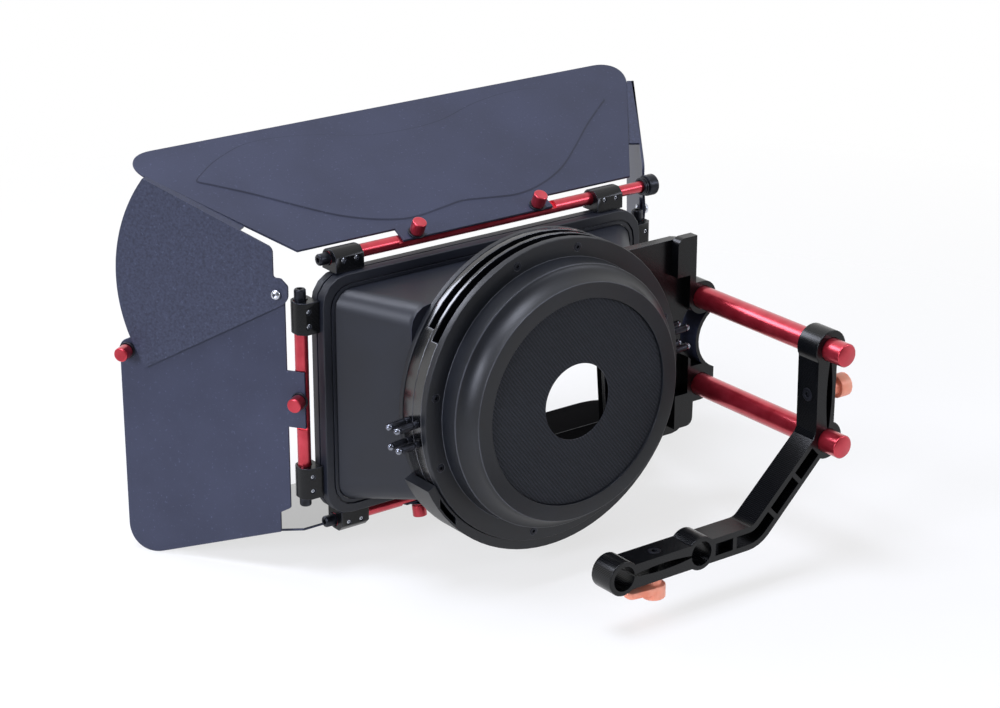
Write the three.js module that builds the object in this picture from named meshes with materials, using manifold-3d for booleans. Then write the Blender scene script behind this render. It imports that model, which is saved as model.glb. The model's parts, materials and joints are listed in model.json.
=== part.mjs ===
// Matte box on a side support arm: a round two-stage filter holder with a
// donut at the back, a rectangular hood in front and four folding flags.
// Millimetres. +X is the operator's right, +Y runs forward along the optical
// axis and +Z is up. The origin lies midway between the camera-rod bores.
import * as THREE from 'three';
import { mergeVertices } from 'three/addons/utils/BufferGeometryUtils.js';
import Module from 'manifold-3d';

const wasm = await Module();
wasm.setup();

// Sizes shared by several pieces
const rodDiameter = 15;
const rodSpacing = 60;
const opticalHeight = 79;
const runningGap = 0.3;
const seatGap = 0.3;
const overrun = 2;
const edgeBevel = 0.6;
const weldDistance = 0.0002;

// Support arm
const armDepth = 18;
const armWidth = 15.6;
const armDrop = 0.6;
const armBossRadius = 11;
const armBendInset = 53.8;
const armBendRadius = 16;
const armUprightInset = 2.5;
const armUprightFootZ = 50.9;
const sideRodGap = 32.5;
const sideBossRadius = 12.2;
const armPocketStartX = 41.2;
const armPocketWidth = 8;
const armPocketDepth = 7.2;
const armPocketLengths = [14, 31.5, 23.5, 19];
const armRibThickness = 3;
const slitMiddleWidth = 4.6;
const slitEndWidth = 1.2;

// Clamp bolts and their levers
const boltRadius = 2.5;
const boltHeadRadius = 4.2;
const boltHeadHeight = 3;
const boltSocketRadius = 2;
const boltSocketDepth = 2;
const boltThreadLength = 12;
const leverHubRadius = 7.5;
const leverHubHeight = 9;
const leverNeckRadius = 5;
const lowerLeverNeck = 5.4;
const leverReach = 21;
const leverTipRadius = 4;
const leverThickness = 4;

// Side rods and the bracket that ties them to the mounting plate
const sideRodRear = -23;
const sideRodLength = 150;
const sideRodBevel = 1;
const bracketRear = 111;
const bracketDepth = 16;
const bracketBossRadius = 11;
const bracketInset = 11;
const bracketLugInset = 21.5;
const bracketUpperLugRise = 6;
const bracketUpperLugLength = 26;
const bracketLowerLugDrop = 7;
const bracketLowerLugLength = 23;
const bracketLugSetback = 6;
const bracketLugRounding = 5;
const reliefOffset = 19.5;
const reliefRadius = 22;
const reliefWall = 2.5;
const bracketPocketHalf = 16;
const bracketPocketWall = 2;
const bracketPocketDepth = 6;
const plateFront = 125;
const plateThickness = 7;
const plateSetback = 5.5;
const plateOverlap = 38;
const plateTopInset = 27;
const plateFootInset = 35;
const plateRounding = 12;

// Filter stage, from the back to the front
const stageMargin = 42;
const stageTurnDegrees = 4.25;
const flangeRear = 97.3;
const flangeFront = 102.1;
const rearSlotFront = 108.4;
const middleFront = 111;
const frontSlotFront = 116.5;
const stageFront = 121;
const baseFront = 125;
const windowMargin = 1;
const windowRounding = 10;
const rearMouthDegrees = 56;
const frontMouthDegrees = 52;
const flangePlateThickness = 3;
const flangeScrewInset = 6.25;
const flangeScrewDegrees = 14.5;
const flangeScrewRadius = 2.8;
const flangeScrewDepth = 1.6;
const adapterRear = 85.5;
const adapterFootInset = 12;
const adapterTaper = 1;
const adapterWall = 11;
const spigotInset = 16;
const spigotWall = 9;
const guardGap = 0.5;
const guardRise = 6.5;
const guardRear = 100;
const guardStartDegrees = 205;
const guardEndDegrees = 330;
const guardPocketDepth = 12;
const guardPocketWall = 1.3;
const guardRibInsets = [11, 25];
const guardRibThickness = 2.4;
const guardPocketReach = 15;

// Donut and its holder
const donutRear = 72.8;
const donutSwell = 8.3;
const donutRecess = 1;
const donutRimWall = 10.4;
const membraneThickness = 2.6;
const membraneHole = 24.6;
const donutFlangeWidth = 4.3;
const donutFlangeThickness = 2;
const donutSleeveLength = 6;
const donutSleeveWall = 3.7;

// Filter trays and the plungers that lock them
const filterSize = 101.6;
const trayRail = 6;
const trayHalfWidth = 56;
const trayBottom = 56;
const trayTop = 70;
const trayThickness = 4.9;
const trayLip = 1.6;
const trayRounding = 4;
const trayGripHalf = 18;
const trayGripHeight = 7;
const plungerSpacing = 13;
const plungerRadius = 2.4;
const plungerShank = 1.5;
const plungerReach = 17;
const plungerCollarLength = 3;
const plungerNeckRadius = 1.9;
const plungerNeckLength = 1;

// Hood
const hoodRear = 125.3;
const hoodCollarFront = 130;
const hoodFront = 168;
const hoodRearHalfWidth = 88;
const hoodRearHalfHeight = 65;
const hoodFrontHalfWidth = 115;
const hoodFrontHalfHeight = 69.5;
const hoodRearRounding = 14;
const hoodFrontRounding = 12;
const hoodWall = 2.6;
const hoodWindowHalfWidth = 75;
const hoodWindowHalfHeight = 56;
const hoodWindowRounding = 16;
const frameOverhang = 8.5;
const frameRise = 9;
const frameRounding = 18;
const frameRear = 167;
const frameFront = 181;
const frameBand = 6;
const frameGrooveDepth = 0.8;
const frameGrooveWidth = 1.4;
const frameGrooveSetback = 6;
const frameFlangeThickness = 3;
const frameMouldingWidth = 2;
const frameMouldingDepth = 1.2;
const frameMouldingStep = 1.2;

// Hinge rods and their blocks
const hingeOffset = 8;
const hingeY = 180;
const hingeRodRadius = 4.25;
const hingeCapRadius = 3.75;
const hingeCapLength = 6.6;
const hingeEndBevel = 0.6;
const blockLength = 20.5;
const blockRear = 9.5;
const blockBevel = 4;
const blockRounding = 6;
const sideBlockInset = 24.5;
const levelBlockInset = 22.5;
const flatDepth = 2.1;
const levelFlatHalf = 61;
const sideFlatHalf = 19.5;
const knobRadius = 7;
const knobLength = 11.3;
const knobCollarRadius = 5.6;
const knobCollarLength = 2.4;
const knobSetout = 2.2;
const knobClearance = 1.4;
const knobSpigotLength = 6;

// Flags
const sheetThickness = 1.6;
const sheetOffset = 2.4;
const flagEdge = 7.5;
const levelTabHalf = 58;
const sideTabHalf = 18.5;
const tabOverhang = 3.2;
const flagRearSetback = 2.4;
const flagFlare = 73.8;
const flagReach = 114.5;
const flagRounding = 17;
const flagScrewX = 47;
const topFlagDegrees = 26.6;
const bottomFlagDegrees = 11.5;
const sideFlagDegrees = 34;
const sideFlagEdge = 8.5;
const sideFlagReach = 121.3;
const sideNotchDepth = 15.5;
const sideNotchRise = 5.5;
const sideNotchStep = 4;
const sideFlagDrop = 11.8;
const sideFlagCornerDrop = 33;
const sideFlagRounding = 18;
const sideFlagShoulder = 4;

// Wings on the side flags
const wingPivotReach = 13;
const wingPivotDrop = 10.6;
const wingHubRadius = 7.5;
const wingRadius = 107.5;
const wingLowerDegrees = -33;
const wingLipStart = 36.5;
const wingLipDepth = 5;
const wingLipRise = 3.4;
const wingNotchSlant = 4.5;
const wingGap = 0.4;
const wingScrewInset = 5.5;
const wingScrewZ = 19.5;
const wingScrewMargin = 6.5;
const wingPivotMargin = 7;
const pivotHeadRadius = 3.35;
const pivotHeadHeight = 2.3;
const pivotShankRadius = 1.5;
const pivotNutRadius = 2.8;
const pivotNutHeight = 1.4;

// Thumbscrews
const thumbHeadRadius = 5.25;
const thumbHeadHeight = 8.6;
const thumbNeckRadius = 4.3;
const thumbNeckHeight = 1;
const thumbWasherRadius = 5.8;
const thumbWasherHeight = 1;
const thumbShankRadius = 1.9;
const thumbShankLength = 5.6;

// Counts of facets
const largeSteps = 60;
const rodSteps = 16;
const smallSteps = 12;
const pinSteps = 8;
const cornerSteps = 4;

// Sizes and places that follow from the sizes above
const trayWindowHalf = trayHalfWidth - trayRail;
const windowHalf = trayWindowHalf + windowMargin;
const stageRadius = trayHalfWidth + stageMargin;
const flangeScrewCircle = stageRadius - flangeScrewInset;
const adapterFootRadius = stageRadius - adapterFootInset;
const adapterRadius = adapterFootRadius - adapterTaper;
const adapterBore = adapterRadius - adapterWall;
const donutRimRadius = adapterRadius - donutSwell;
const donutOpening = donutRimRadius - donutRimWall;
const donutFlangeBore = donutOpening - donutFlangeWidth;
const spigotRadius = stageRadius - spigotInset;
const spigotBore = spigotRadius - spigotWall;
const guardRadius = stageRadius + guardRise;
const guardRibXs = guardRibInsets.map((inset) => inset - stageRadius);
const plungerTipX = stageRadius + plungerReach;
const sideRodX = stageRadius + sideRodGap;
const armUprightX = sideRodX - armUprightInset;
const armBendX = armUprightX - armBendInset;
const bracketLeftX = sideRodX - bracketInset;
const bracketLugX = sideRodX - bracketLugInset;
const bracketLugRight = sideRodX - bracketLugSetback;
const reliefX = sideRodX + reliefOffset;
const plateRight = sideRodX - plateSetback;
const plateLeft = stageRadius - plateOverlap;
const plateTop = stageRadius - plateTopInset;
const plateBottom = plateFootInset - stageRadius;
const wingScrewReach = wingPivotReach + wingRadius - wingScrewInset;
const frameHalfWidth = hoodFrontHalfWidth + frameOverhang;
const frameHalfHeight = hoodFrontHalfHeight + frameRise;
const levelHingeZ = frameHalfHeight + hingeOffset;
const sideHingeX = frameHalfWidth + hingeOffset;
const sideBlockZ = frameHalfHeight - sideBlockInset;
const levelBlockX = frameHalfWidth - levelBlockInset;
const flagRearHalf = sideHingeX - flagRearSetback;
const flagFrontHalf = flagRearHalf + flagFlare;
const sideNotchTop = sideNotchRise - frameHalfHeight;
const sideFlagFoot = -frameHalfHeight - sideFlagDrop;
const wingPivotZ = frameHalfHeight - wingPivotDrop;
const wingNotchReach = knobSetout + knobLength + knobClearance;
const wingNotchZ = levelHingeZ - knobRadius - knobClearance;
const knobFace = sideHingeX + knobSetout;

const turn = Math.PI * 2;
const rightAngle = Math.PI / 2;
const radians = THREE.MathUtils.degToRad;

// Outlines are lists of two-dimensional points

function arc(x, y, radius, from, to, steps) {
  return Array.from({ length: steps + 1 }, (_, i) => {
    const angle = from + (to - from) * i / steps;
    return new THREE.Vector2(x + radius * Math.cos(angle), y + radius * Math.sin(angle));
  });
}

// A polygon whose corners are [x, y, rounding]
function rounded(corners, steps = cornerSteps) {
  const points = corners.map(([x, y]) => new THREE.Vector2(x, y));
  return corners.flatMap(([, , rounding = 0], i) => {
    const corner = points[i];
    if (rounding === 0) {
      return [corner];
    }
    const before = points[(i + points.length - 1) % points.length].clone().sub(corner).normalize();
    const after = points[(i + 1) % points.length].clone().sub(corner).normalize();
    const half = Math.acos(before.dot(after)) / 2;
    const middle = before.clone().add(after).normalize();
    const centre = corner.clone().addScaledVector(middle, rounding / Math.sin(half));
    const start = corner.clone().addScaledVector(before, rounding / Math.tan(half)).sub(centre);
    const end = corner.clone().addScaledVector(after, rounding / Math.tan(half)).sub(centre);
    const sweep = Math.atan2(start.cross(end), start.dot(end));
    return arc(centre.x, centre.y, rounding, start.angle(), start.angle() + sweep, steps);
  });
}

function rectangle(halfX, halfY, rounding = 0, x = 0, y = 0) {
  return rounded([
    [x - halfX, y - halfY, rounding], [x + halfX, y - halfY, rounding],
    [x + halfX, y + halfY, rounding], [x - halfX, y + halfY, rounding],
  ]);
}

// The part of a line of points that lies between two distances along it
function stretch(points, from, to) {
  const result = [];
  let reached = 0;
  for (let i = 1; i < points.length; i += 1) {
    const length = points[i].distanceTo(points[i - 1]);
    const start = (from - reached) / length;
    const end = (to - reached) / length;
    if (start >= 0 && start < 1) {
      result.push(points[i - 1].clone().lerp(points[i], start));
    }
    if (end > 0 && end <= 1) {
      result.push(points[i - 1].clone().lerp(points[i], end));
    } else if (start < 1 && end > 1) {
      result.push(points[i]);
    }
    reached += length;
  }
  return result;
}

// A band of one width along a line of points
function band(points, width) {
  const sides = points.map((point, i) => {
    const into = point.clone().sub(points[Math.max(i - 1, 0)]).normalize();
    const out = points[Math.min(i + 1, points.length - 1)].clone().sub(point).normalize();
    const along = into.add(out).normalize();
    return new THREE.Vector2(-along.y, along.x).multiplyScalar(width / 2);
  });
  const left = points.map((point, i) => point.clone().add(sides[i]));
  const right = points.map((point, i) => point.clone().sub(sides[i]));
  return [...left, ...right.reverse()];
}

// The radius of a faceted bore whose flats stay clear of a round of that radius
function bore(radius, steps) {
  return (radius + runningGap) / Math.cos(Math.PI / steps);
}

// Solids

function solidFrom(geometry) {
  geometry.deleteAttribute('normal');
  geometry.deleteAttribute('uv');
  const welded = mergeVertices(geometry, weldDistance);
  const corners = welded.index.array;
  const triangles = [];
  for (let i = 0; i < corners.length; i += 3) {
    const [a, b, c] = corners.slice(i, i + 3);
    if (a !== b && b !== c && c !== a) {
      triangles.push(a, b, c);
    }
  }
  return new wasm.Manifold(new wasm.Mesh({
    numProp: 3,
    vertProperties: welded.attributes.position.array,
    triVerts: Uint32Array.from(triangles),
  }));
}

function extruded(outline, depth) {
  return new THREE.ExtrudeGeometry(new THREE.Shape(outline), { depth, bevelEnabled: false });
}

// An outline in X and Z between two places along Y
function slabY(outline, from, to) {
  return solidFrom(extruded(outline, to - from).rotateX(rightAngle).translate(0, to, 0));
}

// An outline in Y and Z between two places along X
function slabX(outline, from, to) {
  const axes = new THREE.Matrix4().makeBasis(
    new THREE.Vector3(0, 1, 0), new THREE.Vector3(0, 0, 1), new THREE.Vector3(1, 0, 0));
  return solidFrom(extruded(outline, to - from).applyMatrix4(axes).translate(from, 0, 0));
}

// An outline in X and Y between two places along Z
function slabZ(outline, from, to) {
  return solidFrom(extruded(outline, to - from).translate(0, 0, from));
}

const alongX = new THREE.Matrix4().makeRotationZ(-rightAngle);
const alongY = new THREE.Matrix4();
const alongZ = new THREE.Matrix4().makeRotationX(rightAngle);

// A profile of [radius, distance] turned about an axis, outer side upwards
function turned(profile, steps, axis = alongY, x = 0, y = 0, z = 0) {
  const points = profile.map(([radius, distance]) => new THREE.Vector2(radius, distance));
  if (profile[0][0] !== 0) {
    points.push(points[0].clone());
  }
  return solidFrom(new THREE.LatheGeometry(points, steps).applyMatrix4(axis).translate(x, y, z));
}

function cylinder(radius, from, to, steps, axis = alongY, x = 0, y = 0, z = 0) {
  return turned([[0, from], [radius, from], [radius, to], [0, to]], steps, axis, x, y, z);
}

function bevelled(radius, from, to, bevel, steps, axis = alongY, x = 0, y = 0, z = 0) {
  return turned([
    [0, from], [radius - bevel, from], [radius, from + bevel],
    [radius, to - bevel], [radius - bevel, to], [0, to],
  ], steps, axis, x, y, z);
}

// Rounded rectangles in X and Z, stacked along Y and skinned
function lofted(sections) {
  const loops = sections.map(({ y, halfX, halfZ, rounding }) => rectangle(halfX, halfZ, rounding)
    .map((point) => [point.x, y, point.y]));
  const count = loops[0].length;
  const index = [];
  for (let ring = 1; ring < loops.length; ring += 1) {
    for (let i = 0; i < count; i += 1) {
      const next = (i + 1) % count;
      const [a, b] = [(ring - 1) * count + i, (ring - 1) * count + next];
      const [c, d] = [ring * count + next, ring * count + i];
      index.push(a, c, b, a, d, c);
    }
  }
  const last = (loops.length - 1) * count;
  for (let i = 2; i < count; i += 1) {
    index.push(0, i - 1, i, last, last + i, last + i - 1);
  }
  const geometry = new THREE.BufferGeometry();
  geometry.setAttribute('position', new THREE.Float32BufferAttribute(loops.flat(2), 3));
  geometry.setIndex(index);
  return solidFrom(geometry);
}

// Finishes and named pieces

const blackAnodised = { color: 0x2c303c, roughness: 0.45, metalness: 0.6 };
const satinBlack = { color: 0x1d1f26, roughness: 0.5, metalness: 0.5 };
const powderCoat = { color: 0x3c4150, roughness: 0.6, metalness: 0.3 };
const redAnodised = { color: 0xb01c28, roughness: 0.3, metalness: 0.8 };
const orangeAnodised = { color: 0xe8623c, roughness: 0.35, metalness: 0.7 };
const steel = { color: 0xb9bcc2, roughness: 0.3, metalness: 0.95 };
const fabric = { color: 0x26282f, roughness: 0.95, metalness: 0 };

function piece(name, solid, finish, parent) {
  const { vertProperties, triVerts } = solid.getMesh();
  const geometry = new THREE.BufferGeometry();
  geometry.setAttribute('position', new THREE.BufferAttribute(vertProperties, 3));
  geometry.setIndex(new THREE.BufferAttribute(triVerts, 1));
  geometry.computeVertexNormals();
  const mesh = new THREE.Mesh(geometry, new THREE.MeshStandardMaterial(finish));
  mesh.name = name;
  parent.add(mesh);
}

function group(parent, x, y, z) {
  const result = new THREE.Group();
  result.position.set(x, y, z);
  parent.add(result);
  return result;
}

const matteBox = new THREE.Group();
const opticalAxis = group(matteBox, 0, 0, opticalHeight);
const stage = group(opticalAxis, 0, 0, 0);
stage.rotation.y = -radians(stageTurnDegrees);

const rodRadius = rodDiameter / 2;
const rodHalfSpacing = rodSpacing / 2;
const ends = [-1, 1];

// The arm's centre line: along the camera rods, up the bend and to the side rods
function armLine() {
  const left = new THREE.Vector2(-rodHalfSpacing, -armDrop);
  const bend = new THREE.Vector2(armBendX, -armDrop);
  const foot = new THREE.Vector2(armUprightX, armUprightFootZ);
  const top = new THREE.Vector2(armUprightX, opticalHeight + rodHalfSpacing);
  const smooth = rounded([
    [left.x, left.y], [bend.x, bend.y, armBendRadius], [foot.x, foot.y],
  ]);
  return [...smooth, top];
}

function supportArm() {
  const halfDepth = armDepth / 2;
  const line = armLine();
  const sideRodZs = ends.map((end) => opticalHeight + end * rodHalfSpacing);
  let arm = slabY(band(line, armWidth), -halfDepth, halfDepth);
  for (const end of ends) {
    arm = arm.add(bevelled(armBossRadius, -halfDepth, halfDepth, edgeBevel, largeSteps / 2,
      alongY, end * rodHalfSpacing));
  }
  for (const z of sideRodZs) {
    arm = arm.add(bevelled(sideBossRadius, -halfDepth, halfDepth, edgeBevel, largeSteps / 2,
      alongY, sideRodX, 0, z));
  }
  let from = armPocketStartX + rodHalfSpacing;
  for (const length of armPocketLengths) {
    const pocket = band(stretch(line, from, from + length), armPocketWidth);
    arm = arm.subtract(slabY(pocket, -halfDepth - overrun, armPocketDepth - halfDepth));
    arm = arm.subtract(slabY(pocket, halfDepth - armPocketDepth, halfDepth + overrun));
    from += length + armRibThickness;
  }
  const through = halfDepth + overrun;
  const rodBore = bore(rodRadius, rodSteps);
  for (const end of ends) {
    arm = arm.subtract(cylinder(rodBore, -through, through, rodSteps, alongY, end * rodHalfSpacing));
  }
  for (const z of sideRodZs) {
    arm = arm.subtract(cylinder(rodBore, -through, through, rodSteps, alongY, sideRodX, 0, z));
  }
  const slit = clampSlit();
  const upright = slit.map((point) => new THREE.Vector2(sideRodX + point.y, opticalHeight + point.x));
  arm = arm.subtract(slabY(slit, -through, through));
  arm = arm.subtract(slabY(upright, -through, through));
  return arm.subtract(lowerBolt(runningGap)).subtract(sideBolt(runningGap));
}

// A lens-shaped slit that lets a pair of bores close on its rods
function clampSlit() {
  const reach = rodHalfSpacing - rodRadius;
  const upper = Array.from({ length: smallSteps + 1 }, (_, i) => {
    const share = 2 * i / smallSteps - 1;
    const width = slitEndWidth + (slitMiddleWidth - slitEndWidth) * (1 - share * share);
    return new THREE.Vector2(share * reach, width / 2);
  });
  const lower = upper.map((point) => new THREE.Vector2(point.x, -point.y)).reverse();
  return [...upper, ...lower];
}

const armTop = armWidth / 2 - armDrop;
const armFoot = -armWidth / 2 - armDrop;
const armInnerX = armUprightX - armWidth / 2;
const armOuterX = armUprightX + armWidth / 2;

// A bolt with a socket head sunk in one face, its shank reaching past the other
function clampBolt(head, shankEnd, margin, axis, z) {
  const top = head + (margin > 0 ? overrun : 0);
  const seat = head - boltHeadHeight - margin;
  const solid = turned([
    [0, shankEnd - margin], [boltRadius + margin, shankEnd - margin], [boltRadius + margin, seat],
    [boltHeadRadius + margin, seat], [boltHeadRadius + margin, top], [0, top],
  ], smallSteps, axis, 0, 0, z);
  if (margin > 0) {
    return solid;
  }
  const socket = cylinder(boltSocketRadius, head - boltSocketDepth, head + overrun, 6, axis, 0, 0, z);
  return solid.subtract(socket);
}

const againstX = new THREE.Matrix4().makeRotationZ(rightAngle);

function lowerBolt(margin) {
  return clampBolt(armTop, armFoot - boltThreadLength, margin, alongZ, 0);
}

function sideBolt(margin) {
  return clampBolt(-armInnerX, -armOuterX - boltThreadLength, margin, againstX, opticalHeight);
}

// A lever: neck and hub about the bolt, with one tapered handle; drawn about +Z
function clampLever(neck) {
  const boltBore = bore(boltRadius, smallSteps);
  const end = neck + leverHubHeight;
  const hub = turned([
    [0, 0], [leverNeckRadius, 0], [leverNeckRadius, neck], [leverHubRadius - edgeBevel, neck],
    [leverHubRadius, neck + edgeBevel], [leverHubRadius, end - edgeBevel],
    [leverHubRadius - edgeBevel, end], [0, end],
  ], rodSteps, alongZ);
  const rootHalf = leverHubRadius - edgeBevel;
  const handle = slabZ(rounded([
    [0, -rootHalf], [leverReach, -leverTipRadius, leverTipRadius - edgeBevel],
    [leverReach, leverTipRadius, leverTipRadius - edgeBevel], [0, rootHalf],
  ]), neck + edgeBevel, neck + edgeBevel + leverThickness);
  return hub.add(handle)
    .subtract(cylinder(boltBore, -overrun, boltThreadLength + seatGap, smallSteps, alongZ));
}

const lowerLever = group(matteBox, 0, 0, armFoot - seatGap);
lowerLever.rotation.set(Math.PI, 0, Math.PI);
const sideLever = group(matteBox, armOuterX + seatGap, 0, opticalHeight);
sideLever.rotation.set(rightAngle, rightAngle, 0);
const sideLeverNeck = sideRodX + sideBossRadius - armOuterX;

piece('support_arm', supportArm(), blackAnodised, matteBox);
piece('lower_clamp_screw', lowerBolt(0), steel, matteBox);
piece('side_clamp_screw', sideBolt(0), steel, matteBox);
piece('lower_clamp_lever', clampLever(lowerLeverNeck), orangeAnodised, lowerLever);
piece('side_clamp_lever', clampLever(sideLeverNeck), orangeAnodised, sideLever);

function sideRod() {
  return bevelled(rodRadius, sideRodRear, sideRodRear + sideRodLength, sideRodBevel, rodSteps);
}

piece('side_rod_upper', sideRod(), redAnodised, group(opticalAxis, sideRodX, 0, rodHalfSpacing));
piece('side_rod_lower', sideRod(), redAnodised, group(opticalAxis, sideRodX, 0, -rodHalfSpacing));

// Bracket outline in X and Z: two lugs, two rod bosses and a round relief between them
function bracketOutline() {
  const right = sideRodX + bracketBossRadius;
  const rise = Math.sqrt(reliefRadius ** 2 - (reliefX - right) ** 2);
  const angle = Math.atan2(rise, reliefX - right);
  const upperZ = rodHalfSpacing;
  const bossEnd = upperZ + bracketBossRadius;
  const lugFoot = bossEnd + bracketUpperLugRise;
  const lugTop = lugFoot + bracketUpperLugLength;
  const lowTop = bracketLowerLugDrop - bossEnd;
  const lowFoot = lowTop - bracketLowerLugLength;
  return [
    ...rounded([
      [bracketLeftX, lugFoot], [bracketLeftX, lowTop], [bracketLugX, lowTop],
      [bracketLugX, lowFoot], [bracketLugRight, lowFoot, bracketLugRounding],
    ]).filter((point) => point.y <= lowTop || point.x >= bracketLeftX),
    new THREE.Vector2(bracketLugRight, -bossEnd),
    ...arc(sideRodX, -upperZ, bracketBossRadius, -rightAngle, 0, cornerSteps * 2),
    ...arc(reliefX, 0, reliefRadius, Math.PI + angle, Math.PI - angle, smallSteps),
    ...arc(sideRodX, upperZ, bracketBossRadius, 0, rightAngle, cornerSteps * 2),
    new THREE.Vector2(bracketLugRight, bossEnd),
    new THREE.Vector2(bracketLugRight, lugTop),
    ...arc(bracketLugX + bracketLugRounding, lugTop - bracketLugRounding, bracketLugRounding,
      rightAngle, Math.PI, cornerSteps),
    new THREE.Vector2(bracketLugX, lugFoot),
  ];
}

// The pocket behind the curved wall of the relief
function bracketPocket() {
  const radius = reliefRadius + reliefWall;
  const angle = Math.asin(bracketPocketHalf / radius);
  const left = bracketLeftX + bracketPocketWall;
  return [
    new THREE.Vector2(left, bracketPocketHalf), new THREE.Vector2(left, -bracketPocketHalf),
    ...arc(reliefX, 0, radius, Math.PI + angle, Math.PI - angle, smallSteps),
  ];
}

function sideBracket() {
  const front = bracketRear + bracketDepth;
  const outline = bracketOutline();
  const plateRear = plateFront - plateThickness;
  const beside = slabY(rectangle(reliefRadius, guardRadius, 0, plateRight + seatGap + reliefRadius),
    plateRear - overrun, front + overrun);
  let bracket = slabY(outline, bracketRear, plateRear - seatGap)
    .add(slabY(outline, bracketRear, front).intersect(beside));
  bracket = bracket.subtract(slabY(bracketPocket(), bracketRear - overrun,
    bracketRear + bracketPocketDepth));
  for (const end of ends) {
    bracket = bracket.subtract(cylinder(bore(rodRadius, rodSteps), bracketRear - overrun,
      front + overrun, rodSteps, alongY, sideRodX, 0, end * rodHalfSpacing));
  }
  return bracket;
}

// A sector of the ring guard between two radii
function guardSector(inner, outer, from, to) {
  const start = radians(guardStartDegrees);
  const end = radians(guardEndDegrees);
  return slabY([
    ...arc(0, 0, inner, start, end, largeSteps / 2),
    ...arc(0, 0, outer, end, start, largeSteps / 2),
  ], from, to);
}

const plateClearance = stageRadius + seatGap;

function mountingPlate() {
  const rear = plateFront - plateThickness;
  let plate = slabY(rounded([
    [plateLeft, plateBottom, edgeBevel], [plateRight, plateBottom, plateRounding],
    [plateRight, plateTop, plateRounding], [plateLeft, plateTop, edgeBevel],
  ]), rear, plateFront)
    .subtract(cylinder(bore(stageRadius, largeSteps), rear - overrun, plateFront + overrun, largeSteps))
    .subtract(guardSector(plateClearance / 2, guardRadius + seatGap, rear - overrun,
      plateFront + overrun));
  for (const end of ends) {
    plate = plate.subtract(cylinder(bore(rodRadius, rodSteps), rear - overrun, plateFront + overrun,
      rodSteps, alongY, sideRodX, 0, end * rodHalfSpacing));
  }
  return plate;
}

piece('side_bracket', sideBracket(), satinBlack, opticalAxis);
piece('mounting_plate', mountingPlate(), satinBlack, opticalAxis);

// Filter stage

const window = rectangle(windowHalf, windowHalf, windowRounding);
const slotHalfWidth = trayHalfWidth + runningGap;
const slotFoot = -trayBottom - runningGap;

// The slot for one tray: straight sides below, a wide mouth open at the top
function slot(from, to, mouthDegrees) {
  const reach = stageRadius + overrun;
  const slope = Math.tan(radians(mouthDegrees));
  return slabY([
    new THREE.Vector2(-slotHalfWidth, slotFoot), new THREE.Vector2(slotHalfWidth, slotFoot),
    new THREE.Vector2(slotHalfWidth, slotHalfWidth / slope), new THREE.Vector2(reach * slope, reach),
    new THREE.Vector2(-reach * slope, reach), new THREE.Vector2(-slotHalfWidth, slotHalfWidth / slope),
  ], from, to);
}

// The bores that guide the two plungers on each side of a slot
function plungerBores(y) {
  const bores = [];
  for (const z of [-plungerSpacing / 2, plungerSpacing / 2]) {
    bores.push(cylinder(bore(plungerShank, pinSteps), -stageRadius - overrun, stageRadius + overrun,
      pinSteps, alongX, 0, y, z));
  }
  return bores[0].add(bores[1]);
}

const rearSlotY = (flangeFront + rearSlotFront) / 2;
const frontSlotY = (middleFront + frontSlotFront) / 2;

function rearFlange() {
  const disc = turned([
    [0, flangeFront - flangePlateThickness], [adapterBore, flangeFront - flangePlateThickness],
    [adapterBore, adapterRear], [adapterRadius, adapterRear], [adapterFootRadius, flangeRear],
    [stageRadius - edgeBevel, flangeRear], [stageRadius, flangeRear + edgeBevel],
    [stageRadius, flangeFront], [0, flangeFront],
  ], largeSteps);
  let flange = disc.subtract(slabY(window, flangeRear - overrun, flangeFront + overrun));
  for (let i = 0; i < 4; i += 1) {
    for (const end of ends) {
      const angle = i * rightAngle + end * radians(flangeScrewDegrees);
      flange = flange.subtract(turned([
        [0, flangeRear - overrun], [flangeScrewRadius, flangeRear - overrun],
        [flangeScrewRadius, flangeRear], [flangeScrewRadius / 2, flangeRear + flangeScrewDepth],
        [0, flangeRear + flangeScrewDepth],
      ], pinSteps, alongY, flangeScrewCircle * Math.cos(angle), 0, flangeScrewCircle * Math.sin(angle)));
    }
  }
  return flange;
}

function middleRing() {
  return cylinder(stageRadius, flangeFront, middleFront, largeSteps)
    .subtract(slot(flangeFront - overrun, rearSlotFront, rearMouthDegrees))
    .subtract(slabY(window, rearSlotFront - overrun, middleFront + overrun))
    .subtract(plungerBores(rearSlotY));
}

function frontRing() {
  return turned([
    [0, middleFront], [stageRadius, middleFront], [stageRadius, stageFront - edgeBevel],
    [stageRadius - edgeBevel, stageFront], [spigotRadius, stageFront],
    [spigotRadius, baseFront - seatGap], [spigotBore, baseFront - seatGap],
    [spigotBore, stageFront], [0, stageFront],
  ], largeSteps)
    .subtract(slot(middleFront - overrun, frontSlotFront, frontMouthDegrees))
    .subtract(slabY(window, frontSlotFront - overrun, stageFront + overrun))
    .subtract(plungerBores(frontSlotY));
}

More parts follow.
